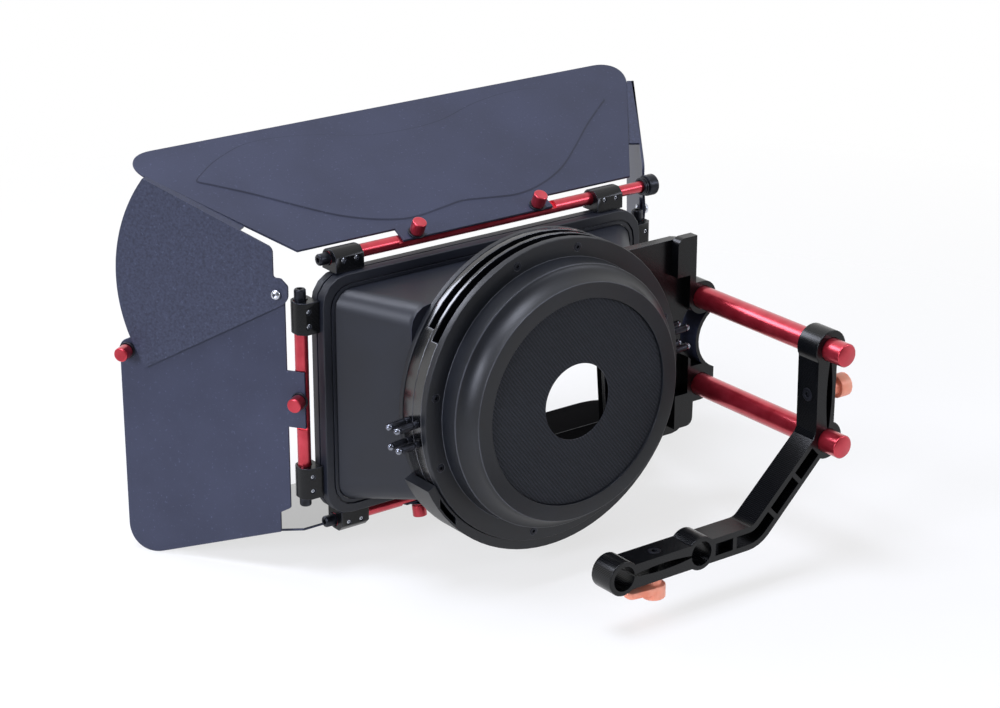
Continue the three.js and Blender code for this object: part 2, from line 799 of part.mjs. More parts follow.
// The fixed ring that the stage turns in, with the guard below it
function baseRing() {
  const rear = stageFront + seatGap;
  const inner = stageRadius + guardGap;
  const pocketOuter = guardRadius - guardPocketWall;
  const pocketInner = inner + guardPocketWall;
  const guard = guardSector(inner, guardRadius, guardRear, baseFront)
    .add(guardSector(bore(spigotRadius, largeSteps), guardRadius, rear, baseFront));
  let ring = turned([
    [bore(spigotRadius, largeSteps), rear], [stageRadius - edgeBevel, rear],
    [stageRadius, rear + edgeBevel], [stageRadius, baseFront],
    [bore(spigotRadius, largeSteps), baseFront],
  ], largeSteps).add(guard);
  const pockets = guardSector(pocketInner, pocketOuter, guardRear - overrun,
    guardRear + guardPocketDepth);
  for (const [i, ribX] of guardRibXs.entries()) {
    const right = (guardRibXs[i + 1] ?? ribX + guardPocketReach) - guardRibThickness / 2;
    const left = ribX + guardRibThickness / 2;
    const span = rectangle((right - left) / 2, guardRadius / 2, 0, (right + left) / 2, -guardRadius / 2);
    ring = ring.subtract(pockets.intersect(slabY(span, guardRear - overrun,
      guardRear + guardPocketDepth)));
  }
  return ring;
}

function donutHolder() {
  const depth = adapterRear - seatGap - donutRear;
  const swell = adapterRadius - donutRimRadius;
  const face = donutRear + depth;
  const sleeve = adapterBore - seatGap;
  const inside = donutRear + donutRecess + membraneThickness + seatGap;
  const shoulder = arc(0, 0, 1, -rightAngle, 0, cornerSteps)
    .map((point) => [donutRimRadius + swell * point.x, face + depth * point.y]);
  return turned([
    [donutOpening, donutRear], ...shoulder, [sleeve, face], [sleeve, face + donutSleeveLength],
    [sleeve - donutSleeveWall, face + donutSleeveLength],
    [sleeve - donutSleeveWall, inside + donutFlangeThickness],
    [donutFlangeBore, inside + donutFlangeThickness], [donutFlangeBore, inside],
    [donutOpening, inside],
  ], largeSteps);
}

function donutMembrane() {
  const rear = donutRear + donutRecess;
  const outer = donutOpening - seatGap;
  return turned([
    [membraneHole, rear], [outer, rear], [outer, rear + membraneThickness],
    [membraneHole, rear + membraneThickness],
  ], largeSteps / 2);
}

piece('stage_rear_flange', rearFlange(), blackAnodised, stage);
piece('stage_middle_ring', middleRing(), blackAnodised, stage);
piece('stage_front_ring', frontRing(), blackAnodised, stage);
piece('stage_base_ring', baseRing(), blackAnodised, opticalAxis);
piece('donut_holder', donutHolder(), blackAnodised, stage);
piece('donut_membrane', donutMembrane(), fabric, stage);

// A filter tray: a frame with a seat for a square filter and a finger slot at the top
function filterTray(y) {
  const rear = y - trayThickness / 2;
  const front = y + trayThickness / 2;
  const middleZ = (trayTop - trayBottom) / 2;
  const railZ = (trayTop + trayWindowHalf) / 2;
  return slabY(rectangle(trayHalfWidth, (trayTop + trayBottom) / 2, trayRounding, 0, middleZ), rear, front)
    .subtract(slabY(rectangle(trayWindowHalf, trayWindowHalf), rear - overrun, front + overrun))
    .subtract(slabY(rectangle(filterSize / 2, filterSize / 2), rear + trayLip, front + overrun))
    .subtract(slabY(rectangle(trayGripHalf, trayGripHeight / 2, trayGripHeight / 2 - edgeBevel, 0, railZ),
      rear - overrun, front + overrun));
}

piece('filter_tray_rear', filterTray(rearSlotY), satinBlack, stage);
piece('filter_tray_front', filterTray(frontSlotY), satinBlack, stage);

// A plunger along +X: shank in its bore, knurled collar and a domed tip
function plunger() {
  const seat = stageRadius + seatGap;
  const tip = plungerTipX - plungerRadius;
  const dome = arc(0, tip, plungerRadius, 0, rightAngle, cornerSteps)
    .map((point) => [point.x, point.y]);
  dome[dome.length - 1][0] = 0;
  return turned([
    [0, trayHalfWidth + seatGap], [plungerShank, trayHalfWidth + seatGap], [plungerShank, seat],
    [plungerRadius, seat], [plungerRadius, seat + plungerCollarLength],
    [plungerNeckRadius, seat + plungerCollarLength],
    [plungerNeckRadius, seat + plungerCollarLength + plungerNeckLength],
    [plungerRadius, seat + plungerCollarLength + plungerNeckLength], ...dome,
  ], pinSteps, alongX);
}

for (const [row, y] of [['rear', rearSlotY], ['front', frontSlotY]]) {
  for (const [side, sideSign] of [['left', -1], ['right', 1]]) {
    for (const [level, levelSign] of [['lower', -1], ['upper', 1]]) {
      const place = group(stage, 0, y, levelSign * plungerSpacing / 2);
      place.rotation.z = sideSign < 0 ? Math.PI : 0;
      piece(`lock_pin_${row}_${side}_${level}`, plunger(), satinBlack, place);
    }
  }
}

// Hood and its front frame

function hoodSection(y, share, inset) {
  const mix = (from, to) => from + (to - from) * share;
  return {
    y,
    halfX: mix(hoodRearHalfWidth, hoodFrontHalfWidth) - inset,
    halfZ: mix(hoodRearHalfHeight, hoodFrontHalfHeight) - inset,
    rounding: mix(hoodRearRounding, hoodFrontRounding) - inset,
  };
}

function hoodShell() {
  const lip = frameRear + frameFlangeThickness;
  const outer = lofted([
    hoodSection(hoodRear, 0, 0), hoodSection(hoodCollarFront, 0, 0),
    hoodSection(hoodFront, 1, 0), hoodSection(lip, 1, 0),
  ]);
  const inner = lofted([
    hoodSection(hoodRear + hoodWall, 0, hoodWall), hoodSection(hoodCollarFront, 0, hoodWall),
    hoodSection(hoodFront, 1, hoodWall), hoodSection(lip + overrun, 1, hoodWall),
  ]);
  const opening = rectangle(hoodWindowHalfWidth, hoodWindowHalfHeight, hoodWindowRounding);
  return outer.subtract(inner)
    .subtract(slabY(opening, hoodRear - overrun, hoodRear + hoodWall + overrun));
}

function frameSection(y, inset) {
  return {
    y,
    halfX: frameHalfWidth - inset,
    halfZ: frameHalfHeight - inset,
    rounding: frameRounding - inset,
  };
}

function hoodFrame() {
  const groove = frameFront - frameGrooveSetback;
  const flange = frameRear + frameFlangeThickness;
  const outer = lofted([
    frameSection(frameRear, edgeBevel), frameSection(frameRear + edgeBevel, 0),
    frameSection(groove - frameGrooveWidth, 0), frameSection(groove - frameGrooveWidth, frameGrooveDepth),
    frameSection(groove, frameGrooveDepth), frameSection(groove, 0),
    frameSection(frameFront - edgeBevel, 0), frameSection(frameFront, edgeBevel),
  ]);
  const seat = rectangle(hoodFrontHalfWidth + seatGap, hoodFrontHalfHeight + seatGap,
    hoodFrontRounding + seatGap);
  const moulding = rectangle(hoodFrontHalfWidth + seatGap + frameMouldingWidth,
    hoodFrontHalfHeight + seatGap + frameMouldingWidth, hoodFrontRounding + frameMouldingWidth);
  const grooveOutline = rectangle(hoodFrontHalfWidth + seatGap + frameMouldingWidth + frameMouldingStep,
    hoodFrontHalfHeight + seatGap + frameMouldingWidth + frameMouldingStep,
    hoodFrontRounding + frameMouldingWidth + frameMouldingStep);
  const rear = frameRear - overrun;
  const mouldingGroove = slabY(grooveOutline, rear, frameRear + frameMouldingDepth)
    .subtract(slabY(moulding, rear - overrun, frameRear + frameMouldingDepth + overrun));
  const opening = rectangle(frameHalfWidth - frameBand, frameHalfHeight - frameBand,
    frameRounding - frameBand);
  return outer.subtract(slabY(opening, flange, frameFront + overrun))
    .subtract(slabY(seat, rear, frameFront + overrun)).subtract(mouldingGroove);
}

piece('hood_shell', hoodShell(), powderCoat, opticalAxis);
piece('hood_frame', hoodFrame(), powderCoat, opticalAxis);

// Hinge blocks: a foot on the frame, a bevelled outer rear edge and a round front

const blockHalf = blockLength / 2;

// Section with its first coordinate out of the frame and its second forward
function blockSection() {
  const outer = hingeOffset + blockRounding;
  return [
    new THREE.Vector2(seatGap, -blockRear), new THREE.Vector2(outer - blockBevel, -blockRear),
    new THREE.Vector2(outer, blockBevel - blockRear),
    ...arc(hingeOffset, 0, blockRounding, 0, rightAngle, cornerSteps),
    new THREE.Vector2(seatGap, blockRounding),
  ];
}

const blockBore = bore(hingeRodRadius, rodSteps);

function sideBlock(side) {
  const section = blockSection()
    .map((point) => new THREE.Vector2(side * (frameHalfWidth + point.x), hingeY + point.y));
  return slabZ(section, -blockHalf, blockHalf)
    .subtract(cylinder(blockBore, -blockLength, blockLength, rodSteps, alongZ,
      side * sideHingeX, hingeY));
}

function levelBlock(side) {
  const section = blockSection()
    .map((point) => new THREE.Vector2(hingeY + point.y, side * (frameHalfHeight + point.x)));
  return slabX(section, -blockHalf, blockHalf)
    .subtract(cylinder(blockBore, -blockLength, blockLength, rodSteps, alongX,
      0, hingeY, side * levelHingeZ));
}

for (const [name, side] of [['left', -1], ['right', 1]]) {
  for (const [level, end] of [['lower', -1], ['upper', 1]]) {
    piece(`hinge_block_${name}_${level}`, sideBlock(side), satinBlack,
      group(opticalAxis, 0, 0, end * sideBlockZ));
  }
}
for (const [name, side] of [['bottom', -1], ['top', 1]]) {
  for (const [end, direction] of [['left', -1], ['right', 1]]) {
    piece(`hinge_block_${name}_${end}`, levelBlock(side), satinBlack,
      group(opticalAxis, direction * levelBlockX, 0, 0));
  }
}

// Hinge rods: each flag is drawn in a group on its rod's axis. In a level group
// +Y runs along the sheet and +Z out of it; in a side group +X (or -X) does.

// A rod along one axis with a smaller end at each side
function hingeRod(blockCentre, axis, endLength = hingeCapLength) {
  const body = blockCentre + blockHalf + seatGap;
  const far = body + endLength;
  const near = body + hingeCapLength;
  return turned([
    [0, -near], [hingeCapRadius - hingeEndBevel, -near], [hingeCapRadius, hingeEndBevel - near],
    [hingeCapRadius, -body], [hingeRodRadius, -body], [hingeRodRadius, body],
    [hingeCapRadius, body], [hingeCapRadius, far - hingeEndBevel],
    [hingeCapRadius - hingeEndBevel, far], [0, far],
  ], rodSteps, axis);
}

const screwHole = bore(thumbShankRadius, smallSteps);
const rodKnobEnd = knobFace + knobSpigotLength - levelBlockX - blockHalf - seatGap;

function levelRod(side, endLength) {
  let rod = hingeRod(levelBlockX, alongX, endLength);
  const cut = rectangle(hingeRodRadius, hingeRodRadius, 0, 0, side * (flatDepth + hingeRodRadius));
  rod = rod.subtract(slabX(cut, -levelFlatHalf, levelFlatHalf));
  for (const end of ends) {
    rod = rod.subtract(cylinder(screwHole, -rodDiameter, rodDiameter, smallSteps, alongZ,
      end * flagScrewX));
  }
  return rod;
}

function sideHingeRod(side) {
  const cut = rectangle(hingeRodRadius, hingeRodRadius, 0, side * (flatDepth + hingeRodRadius));
  return hingeRod(sideBlockZ, alongZ)
    .subtract(slabZ(cut, -sideFlatHalf, sideFlatHalf))
    .subtract(cylinder(screwHole, -rodDiameter, rodDiameter, smallSteps, alongX));
}

// A thumbscrew along +Y from the outer face of the sheet it holds
function thumbscrew(lift) {
  const washer = seatGap + lift;
  const neck = washer + thumbWasherHeight;
  const head = neck + thumbNeckHeight;
  const top = head + thumbHeadHeight;
  return turned([
    [0, -thumbShankLength], [thumbShankRadius, -thumbShankLength], [thumbShankRadius, washer],
    [thumbWasherRadius, washer], [thumbWasherRadius, neck], [thumbNeckRadius, neck],
    [thumbNeckRadius, head], [thumbHeadRadius, head], [thumbHeadRadius, top - edgeBevel],
    [thumbHeadRadius - edgeBevel, top], [0, top],
  ], smallSteps);
}

const sheetOuter = sheetOffset + sheetThickness;

// A level flag: a tab on the rod's flat and a sheet that widens forward
function levelFlag(side) {
  const half = [
    [levelTabHalf, -tabOverhang], [levelTabHalf, flagEdge], [flagRearHalf, flagEdge, edgeBevel],
    [flagFrontHalf, flagReach, flagRounding],
  ];
  const mirrored = half.map(([x, y, rounding]) => [-x, y, rounding]).reverse();
  const heights = [side * sheetOffset, side * sheetOuter].sort((a, b) => a - b);
  let sheet = slabZ(rounded([...half, ...mirrored]), ...heights);
  for (const end of ends) {
    sheet = sheet.subtract(cylinder(screwHole, -rodDiameter, rodDiameter, smallSteps, alongZ,
      end * flagScrewX));
  }
  return sheet;
}

// A side flag, drawn in Y (away from the rod) and Z
function sideFlagOutline() {
  const reach = wingScrewReach - wingPivotReach;
  const rise = wingScrewZ - wingPivotZ;
  const slant = Math.atan2(rise, reach)
    - Math.asin((wingPivotMargin - wingScrewMargin) / Math.hypot(reach, rise));
  const normal = slant + rightAngle;
  const lobe = arc(wingScrewReach, wingScrewZ, wingScrewMargin, 0, normal, cornerSteps)
    .map((point) => [point.x, point.y]);
  const pivotTop = wingPivotZ + wingPivotMargin * Math.sin(normal);
  const pivotSide = wingPivotReach + wingPivotMargin * Math.cos(normal);
  const cornerZ = pivotTop - (pivotSide - sideFlagEdge) * Math.tan(slant);
  return rounded([
    [-tabOverhang, -sideTabHalf], [sideFlagEdge, -sideTabHalf], [sideFlagEdge, sideNotchTop],
    [sideNotchDepth, sideNotchTop - sideNotchStep], [sideNotchDepth, sideFlagFoot],
    [sideFlagReach, sideFlagFoot - sideFlagCornerDrop, sideFlagRounding],
    ...lobe, [sideFlagEdge, cornerZ, sideFlagShoulder], [sideFlagEdge, sideTabHalf],
    [-tabOverhang, sideTabHalf],
  ]);
}

function outward(side, from, to) {
  return [side * from, side * to].sort((a, b) => a - b);
}

function sideFlag(side) {
  return slabX(sideFlagOutline(), ...outward(side, sheetOffset, sheetOuter))
    .subtract(cylinder(screwHole, -rodDiameter, rodDiameter, smallSteps, alongX))
    .subtract(cylinder(screwHole, -rodDiameter, rodDiameter, smallSteps, alongX,
      0, wingScrewReach, wingScrewZ))
    .subtract(cylinder(bore(pivotShankRadius, pinSteps), -rodDiameter, rodDiameter, pinSteps, alongX,
      0, wingPivotReach, wingPivotZ));
}

// Height of a wing's lip at a distance from the rod: it follows the side edge of the open top flag
function lipHeight(reach) {
  const top = radians(topFlagDegrees);
  const open = radians(sideFlagDegrees);
  const ahead = reach * Math.cos(open) - (sheetOuter + wingGap + sheetThickness) * Math.sin(open);
  return levelHingeZ + sheetOffset / Math.cos(top) + ahead * Math.tan(top) + wingLipRise;
}

// Where the lip's line meets the wing's round outer edge
function lipEnd() {
  const slope = lipHeight(1) - lipHeight(0);
  const base = lipHeight(0) + slope * wingPivotReach - wingPivotZ;
  const a = 1 + slope * slope;
  const root = Math.sqrt((slope * base) ** 2 - a * (base * base - wingRadius * wingRadius));
  return wingPivotReach + (root - slope * base) / a;
}

const wingInner = sheetOuter + wingGap;
const wingOuter = wingInner + sheetThickness;

// A wing: a fan about its pivot with a lip folded inward along its upper edge
function wing(side) {
  const far = lipEnd();
  const lower = radians(wingLowerDegrees);
  const upper = Math.atan2(lipHeight(far) - wingPivotZ, far - wingPivotReach);
  const corner = new THREE.Vector2(wingRadius * Math.cos(lower), wingRadius * Math.sin(lower));
  const tangent = corner.angle() - turn - Math.acos(wingHubRadius / wingRadius);
  const hubLeft = wingPivotReach - wingHubRadius;
  const outline = [
    ...arc(wingPivotReach, wingPivotZ, wingRadius, lower, upper, smallSteps * 2),
    new THREE.Vector2(wingNotchReach, lipHeight(wingNotchReach)),
    new THREE.Vector2(wingNotchReach, wingNotchZ),
    new THREE.Vector2(hubLeft + wingNotchSlant, wingNotchZ),
    new THREE.Vector2(hubLeft, wingNotchZ - wingNotchSlant),
    ...arc(wingPivotReach, wingPivotZ, wingHubRadius, -Math.PI, tangent, cornerSteps),
  ];
  const lipLine = [
    new THREE.Vector2(wingLipStart, lipHeight(wingLipStart)), new THREE.Vector2(far, lipHeight(far)),
    new THREE.Vector2(far, lipHeight(far) - sheetThickness),
    new THREE.Vector2(wingLipStart, lipHeight(wingLipStart) - sheetThickness),
  ];
  return slabX(outline, ...outward(side, wingInner, wingOuter))
    .add(slabX(lipLine, ...outward(side, wingOuter - wingLipDepth, wingOuter)))
    .subtract(cylinder(bore(pivotShankRadius, pinSteps), -rodDiameter, rodDiameter, pinSteps, alongX,
      0, wingPivotReach, wingPivotZ));
}

// The pivot: a button head outside the wing and a nut behind the flag
function wingPivot() {
  const head = wingOuter + seatGap;
  const nut = sheetOffset - seatGap;
  return turned([
    [0, nut - pivotNutHeight], [pivotNutRadius, nut - pivotNutHeight], [pivotNutRadius, nut],
    [pivotShankRadius, nut], [pivotShankRadius, head], [pivotHeadRadius, head],
    [pivotHeadRadius, head + pivotHeadHeight - edgeBevel],
    [pivotHeadRadius - edgeBevel, head + pivotHeadHeight], [0, head + pivotHeadHeight],
  ], smallSteps);
}

// The knurled knob on the top rod's right end, drawn from its inner face along +X
function rodKnob() {
  return turned([
    [0, 0], [knobCollarRadius, 0], [knobCollarRadius, knobCollarLength],
    [knobRadius, knobCollarLength], [knobRadius, knobLength - edgeBevel],
    [knobRadius - edgeBevel, knobLength], [0, knobLength],
  ], rodSteps, alongX)
    .subtract(cylinder(bore(hingeCapRadius, rodSteps), -overrun, knobSpigotLength + seatGap, rodSteps,
      alongX));
}

for (const [name, side, openDegrees] of [
  ['top', 1, topFlagDegrees], ['bottom', -1, -bottomFlagDegrees],
]) {
  const hinge = group(opticalAxis, 0, hingeY, side * levelHingeZ);
  hinge.rotation.x = radians(openDegrees);
  piece(`${name}_flag`, levelFlag(side), powderCoat, hinge);
  const endLength = side > 0 ? rodKnobEnd : hingeCapLength;
  piece(`hinge_rod_${name}`, levelRod(side, endLength), redAnodised, hinge);
  for (const [end, direction] of [['left', -1], ['right', 1]]) {
    const place = group(hinge, direction * flagScrewX, 0, side * sheetOuter);
    place.rotation.x = side * rightAngle;
    piece(`thumbscrew_${name}_${end}`, thumbscrew(0), redAnodised, place);
  }
  if (side > 0) {
    piece('top_rod_knob', rodKnob(), satinBlack, group(hinge, knobFace, 0, 0));
  }
}

for (const [name, side] of [['left', -1], ['right', 1]]) {
  const hinge = group(opticalAxis, side * sideHingeX, hingeY, 0);
  hinge.rotation.z = -side * radians(sideFlagDegrees);
  piece(`${name}_flag`, sideFlag(side), powderCoat, hinge);
  piece(`hinge_rod_${name}`, sideHingeRod(side), redAnodised, hinge);
  piece(`${name}_wing`, wing(side), powderCoat, hinge);
  const outwardTurn = -side * rightAngle;
  const screw = group(hinge, side * sheetOuter, 0, 0);
  screw.rotation.z = outwardTurn;
  piece(`thumbscrew_${name}`, thumbscrew(0), redAnodised, screw);
  const clamp = group(hinge, side * sheetOuter, wingScrewReach, wingScrewZ);
  clamp.rotation.z = outwardTurn;
  piece(`thumbscrew_${name}_wing`, thumbscrew(wingGap + sheetThickness), redAnodised, clamp);
  const pivot = group(hinge, 0, wingPivotReach, wingPivotZ);
  pivot.rotation.z = outwardTurn;
  piece(`wing_pivot_${name}`, wingPivot(), steel, pivot);
}

export default matteBox;
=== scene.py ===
# %% [markdown]
# # A matte box on its support arm
# A matte box shades a film lens. It is mostly anodised and powder-coated aluminium, cut and turned on
# machines, so nearly every edge carries a small chamfer and nearly every surface a fine grain. This lesson
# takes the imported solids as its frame, gives each piece its edges and finish, and models the small parts
# that the solids leave out.

# %% Load the frame
import json
import math

import bpy
from mathutils import Matrix, Vector


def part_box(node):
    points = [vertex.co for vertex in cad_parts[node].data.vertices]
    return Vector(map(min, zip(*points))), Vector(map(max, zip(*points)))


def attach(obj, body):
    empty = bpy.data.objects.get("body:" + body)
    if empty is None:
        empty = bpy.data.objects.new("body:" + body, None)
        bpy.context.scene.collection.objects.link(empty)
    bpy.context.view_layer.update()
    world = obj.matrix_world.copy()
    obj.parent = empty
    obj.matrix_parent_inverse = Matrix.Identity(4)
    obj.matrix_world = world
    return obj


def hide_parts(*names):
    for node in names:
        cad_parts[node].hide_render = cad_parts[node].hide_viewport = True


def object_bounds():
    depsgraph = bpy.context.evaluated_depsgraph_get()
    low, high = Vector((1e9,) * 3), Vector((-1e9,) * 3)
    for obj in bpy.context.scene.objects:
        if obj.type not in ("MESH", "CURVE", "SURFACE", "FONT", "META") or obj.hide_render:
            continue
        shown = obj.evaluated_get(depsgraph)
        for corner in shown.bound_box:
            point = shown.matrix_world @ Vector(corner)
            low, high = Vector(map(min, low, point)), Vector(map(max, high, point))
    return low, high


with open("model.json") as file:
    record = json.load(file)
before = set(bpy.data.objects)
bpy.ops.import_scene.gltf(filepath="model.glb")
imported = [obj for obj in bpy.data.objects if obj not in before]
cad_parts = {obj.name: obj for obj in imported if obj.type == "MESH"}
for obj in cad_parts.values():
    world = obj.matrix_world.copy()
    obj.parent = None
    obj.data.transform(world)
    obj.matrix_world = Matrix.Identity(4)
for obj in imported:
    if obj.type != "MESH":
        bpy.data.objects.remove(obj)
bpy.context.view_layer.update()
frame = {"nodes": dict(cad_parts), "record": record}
print("solids in the frame:", len(frame["nodes"]))

# %% [markdown]
# Sizes in this lesson are written in millimetres, because that is how such a part is drawn, and turned to
# metres where Blender needs them. The record says which body each solid rides on, so that is looked up there
# and never typed twice.

# %% Units and bodies
MILLIMETRE = 0.001
BODY = {n: body for body, nodes in frame["record"]["behaviour"]["bodies"].items() for n in nodes}


def mm(*values):
    return Vector(value * MILLIMETRE for value in values)


# %% [markdown]
# The camera comes first, since everything is judged through it. Its place and lens were fitted to the
# photograph: a long lens, about a metre and a half away, behind the box, to its left and a little above.

# %% Camera
CAMERA_PLACE = (-0.94077, -1.10824, 0.68169)
CAMERA_LOOKS = (0.5588, 0.7500, -0.3538)
CAMERA_LENS = 95.92
CAMERA_SENSOR = 36

bpy.ops.object.camera_add(location=CAMERA_PLACE)
camera = bpy.context.object
camera.rotation_euler = Vector(CAMERA_LOOKS).to_track_quat("-Z", "Y").to_euler()
camera.data.lens = CAMERA_LENS
camera.data.sensor_width = CAMERA_SENSOR
bpy.context.scene.camera = camera
bpy.context.scene.view_settings.view_transform = "Standard"
print("camera lens:", CAMERA_LENS, "mm")

# %% [markdown]
# Colours are given as sRGB hex values, but Blender's shaders work in linear light, so one function turns the
# first into the second. A second one fills a node in: its settings, its links and the stops of its colour
# ramp. A third adds a new node and fills it in, so each material reads as a short list.

# %% Colour and node helpers


def linear(code):
    parts = [int(code[i:i + 2], 16) / 255 for i in (1, 3, 5)]
    return (*(p / 12.92 if p <= 0.04045 else ((p + 0.055) / 1.055) ** 2.4 for p in parts), 1)


def fill(node, settings=None, links=None, stops=()):
    for name, value in (settings or {}).items():
        if isinstance(name, int) or name in node.inputs:
            node.inputs[name].default_value = value
        else:
            setattr(node, name, value)
    for name, source in (links or {}).items():
        node.id_data.links.new(source, node.inputs[name])
    for i, (position, code) in enumerate(stops):
        node.color_ramp.elements[i].position = position
        node.color_ramp.elements[i].color = linear(code)
    return node


def add(tree, kind, settings=None, links=None, stops=()):
    return fill(tree.nodes.new("ShaderNode" + kind), settings, links, stops)


def new_material(name):
    material = bpy.data.materials.new(name)
    material.use_nodes = True
    tree = material.node_tree
    return material, tree, tree.nodes["Principled BSDF"], add(tree, "TexCoord").outputs["Object"]


# %% [markdown]
# Most finishes are made alike. A coarse cloud of noise shifts the colour between two tones and the
# roughness between two values, because no dye, coat or polish is even. A fine grain gives a slight relief.
# Both take a scale and a detail, and the relief a strength and a depth in metres. A milled finish has lines
# as its grain, and they drive the gloss too.

# %% One function for most finishes


def coat(name, cloud, tones, gloss, constants, grain=None, relief=None, lines=None, top=0.7):
    material, tree, shader, place = new_material(name)
    sizes = ("Scale", "Detail")
    clouds = add(tree, "TexNoise", dict(zip(sizes, cloud)), {"Vector": place}).outputs["Fac"]
    coarse = fine = clouds
    if grain:
        fine = add(tree, "TexNoise", dict(zip(sizes, grain)), {"Vector": place}).outputs["Fac"]
    if lines:
        coarse = fine = add(tree, "TexWave", lines, {"Vector": place}).outputs["Fac"]
    tone = add(tree, "ValToRGB", {}, {"Fac": clouds}, ((0.3, tones[0]), (top, tones[1])))
    shine = add(tree, "MapRange", dict(zip(("To Min", "To Max"), gloss)), {"Value": coarse})
    fill(shader, constants, {"Base Color": tone.outputs["Color"], "Roughness": shine.outputs["Result"]})
    if relief:
        bump = add(tree, "Bump", dict(zip(("Strength", "Distance"), relief)), {"Height": fine})
        fill(shader, {}, {"Normal": bump.outputs["Normal"]})
    print("made", name)
    return material


# %% [markdown]
# **Black anodised aluminium, bead-blasted.** The filter stage is blasted before it is anodised, so it is a
# soft dark grey with a slight blue cast, without a sharp reflection. The blasting leaves pits of a tenth of
# a millimetre; they are drawn at about 0.5 mm, since finer ones don't show at this distance.

# %% Material: blasted black anodising
blasted_black = coat("blasted_black_anodising", (38, 4), ("#0c0e13", "#13161d"), (0.36, 0.48),
                     {"Specular IOR Level": 0.45}, grain=(1900, 2), relief=(0.1, 0.0003),
                     top=0.72)

# %% [markdown]
# **Satin black anodised aluminium, milled.** The arm, the bracket, the plate, the hinge blocks and the
# trays keep the faint lines of the mill under a darker dye. Lines under a millimetre apart, a little
# uneven, show as a soft streak in the gloss.

# %% Material: milled satin black
milled_black = coat("milled_satin_black_anodising", (60, 3), ("#040507", "#0a0b0d"), (0.24, 0.29),
                    {"Specular IOR Level": 0.3}, relief=(0.02, 0.0002), top=0.75,
                    lines={"bands_direction": "Z", "Scale": 390, "Distortion": 1.5, "Detail": 2})

# %% [markdown]
# **Powder coat on sheet aluminium.** The flags are sprayed with a blue-grey powder and baked. It flows to a
# fine orange peel, about 0.8 mm from bump to bump. Lighter specks lie in it, so they are mixed over the
# tone. It is a plastic over metal, so it isn't metallic itself.

# %% Material: powder coat
powder_coat = coat("baked_powder_coat", (22, 5), ("#2d3144", "#363a4e"), (0.44, 0.6),
                   {"Specular IOR Level": 0.35}, grain=(1150, 2), relief=(0.14, 0.0003))
tree = powder_coat.node_tree
shader, place, tone = (tree.nodes[name] for name in ("Principled BSDF", "Texture Coordinate", "Color Ramp"))
specks = add(tree, "TexNoise", {"Scale": 620, "Detail": 1}, {"Vector": place.outputs["Object"]})
speck_mask = add(tree, "MapRange", {"From Min": 0.66, "From Max": 0.78, "To Max": 0.3},
                 {"Value": specks.outputs["Fac"]})
speckled = add(tree, "Mix", {"data_type": "RGBA"}, {"Factor": speck_mask.outputs["Result"]})
fill(speckled, {"B": linear("#5d6480")}, {"A": tone.outputs["Color"]})
fill(shader, {}, {"Base Color": speckled.outputs["Result"]})
print("specks in", powder_coat.name)

# %% [markdown]
# ** Hood, inner faces and flock.** The hood is moulded in a blue-black, smooth enough for its rounded corners to carry a broad soft highlight. The face of the bottom flag that looks up into the box is smoother still: seen at a low angle it mirrors the white studio. Flock is a pile of short black fibres that swallows nearly all light; the same black also serves as painted shade on the bottom flag.

# %% Materials: moulded hood, smooth inner face, flock
moulded_black = coat("moulded_satin_black", (26, 4), ("#0f121b", "#151924"), (0.42, 0.52),
                     {"Specular IOR Level": 0.5}, grain=(1500, 2), relief=(0.06, 0.0003))
smooth_black = coat("smooth_black_inner_coat", (40, 4), ("#0b0c12", "#12131b"), (0.1, 0.18),
                    {"Specular IOR Level": 1.0, "Coat Weight": 1.0, "Coat Roughness": 0.08})
black_flock_and_shade = coat("black_flock_and_painted_shade", (1300, 2), ("#020203", "#08080a"), (0.9, 1.0),
                   {"Specular IOR Level": 0.02}, relief=(0.4, 0.0003))

# %% [markdown]
# **Red anodised aluminium, turned.** The rods and the thumbscrews are turned bright and dyed red. The dye
# lies over bare metal, so they mirror their surroundings in red: nearly white-pink where the light falls
# and dark wine where they face black. Turning leaves fine rings, drawn here as a noise of under half a
# millimetre.
#
# **Orange anodised aluminium.** The clamp levers are milled, tumbled round and dyed a pale orange. Tumbling
# blurs their shine, so they look almost like satin plastic.

# %% Materials: red and orange anodising
red_anodised = coat("turned_red_anodising", (90, 3), ("#b42434", "#cc3a4a"), (0.26, 0.36),
                    {"Metallic": 0.8, "Coat Weight": 0.6, "Coat Roughness": 0.2}, grain=(2400, 1),
                    relief=(0.04, 0.0002))
orange_anodised = coat("tumbled_orange_anodising", (110, 3), ("#ff9676", "#ffb296"), (0.36, 0.5),
                       {"Metallic": 0.1}, grain=(900, 2), relief=(0.06, 0.0003))

# %% [markdown]
# **Bright steel and blackened steel.** The wing pivots and the set screws are machined and polished steel.
# Other screws and the knurled sleeves are blackened in a hot salt bath, which leaves a thin oily black.

# %% Materials: bright and blackened steel
bright_steel = coat("machined_bright_steel", (300, 3), ("#b4b8c2", "#cfd2d9"), (0.16, 0.3),
                    {"Metallic": 1})
black_steel = coat("hot_blackened_steel", (260, 3), ("#1b1c21", "#30323a"), (0.25, 0.4),
                   {"Metallic": 0.7})

# %% [markdown]
# **Ribbed elastic fabric.** The donut is closed by a stretched black fabric with fine ribs that run
# slantwise. The ribs lie about 1.9 mm apart, with a finer thread across them, so two waves at right angles
# make the weave, and a little sheen stands for the fuzz of the yarn.

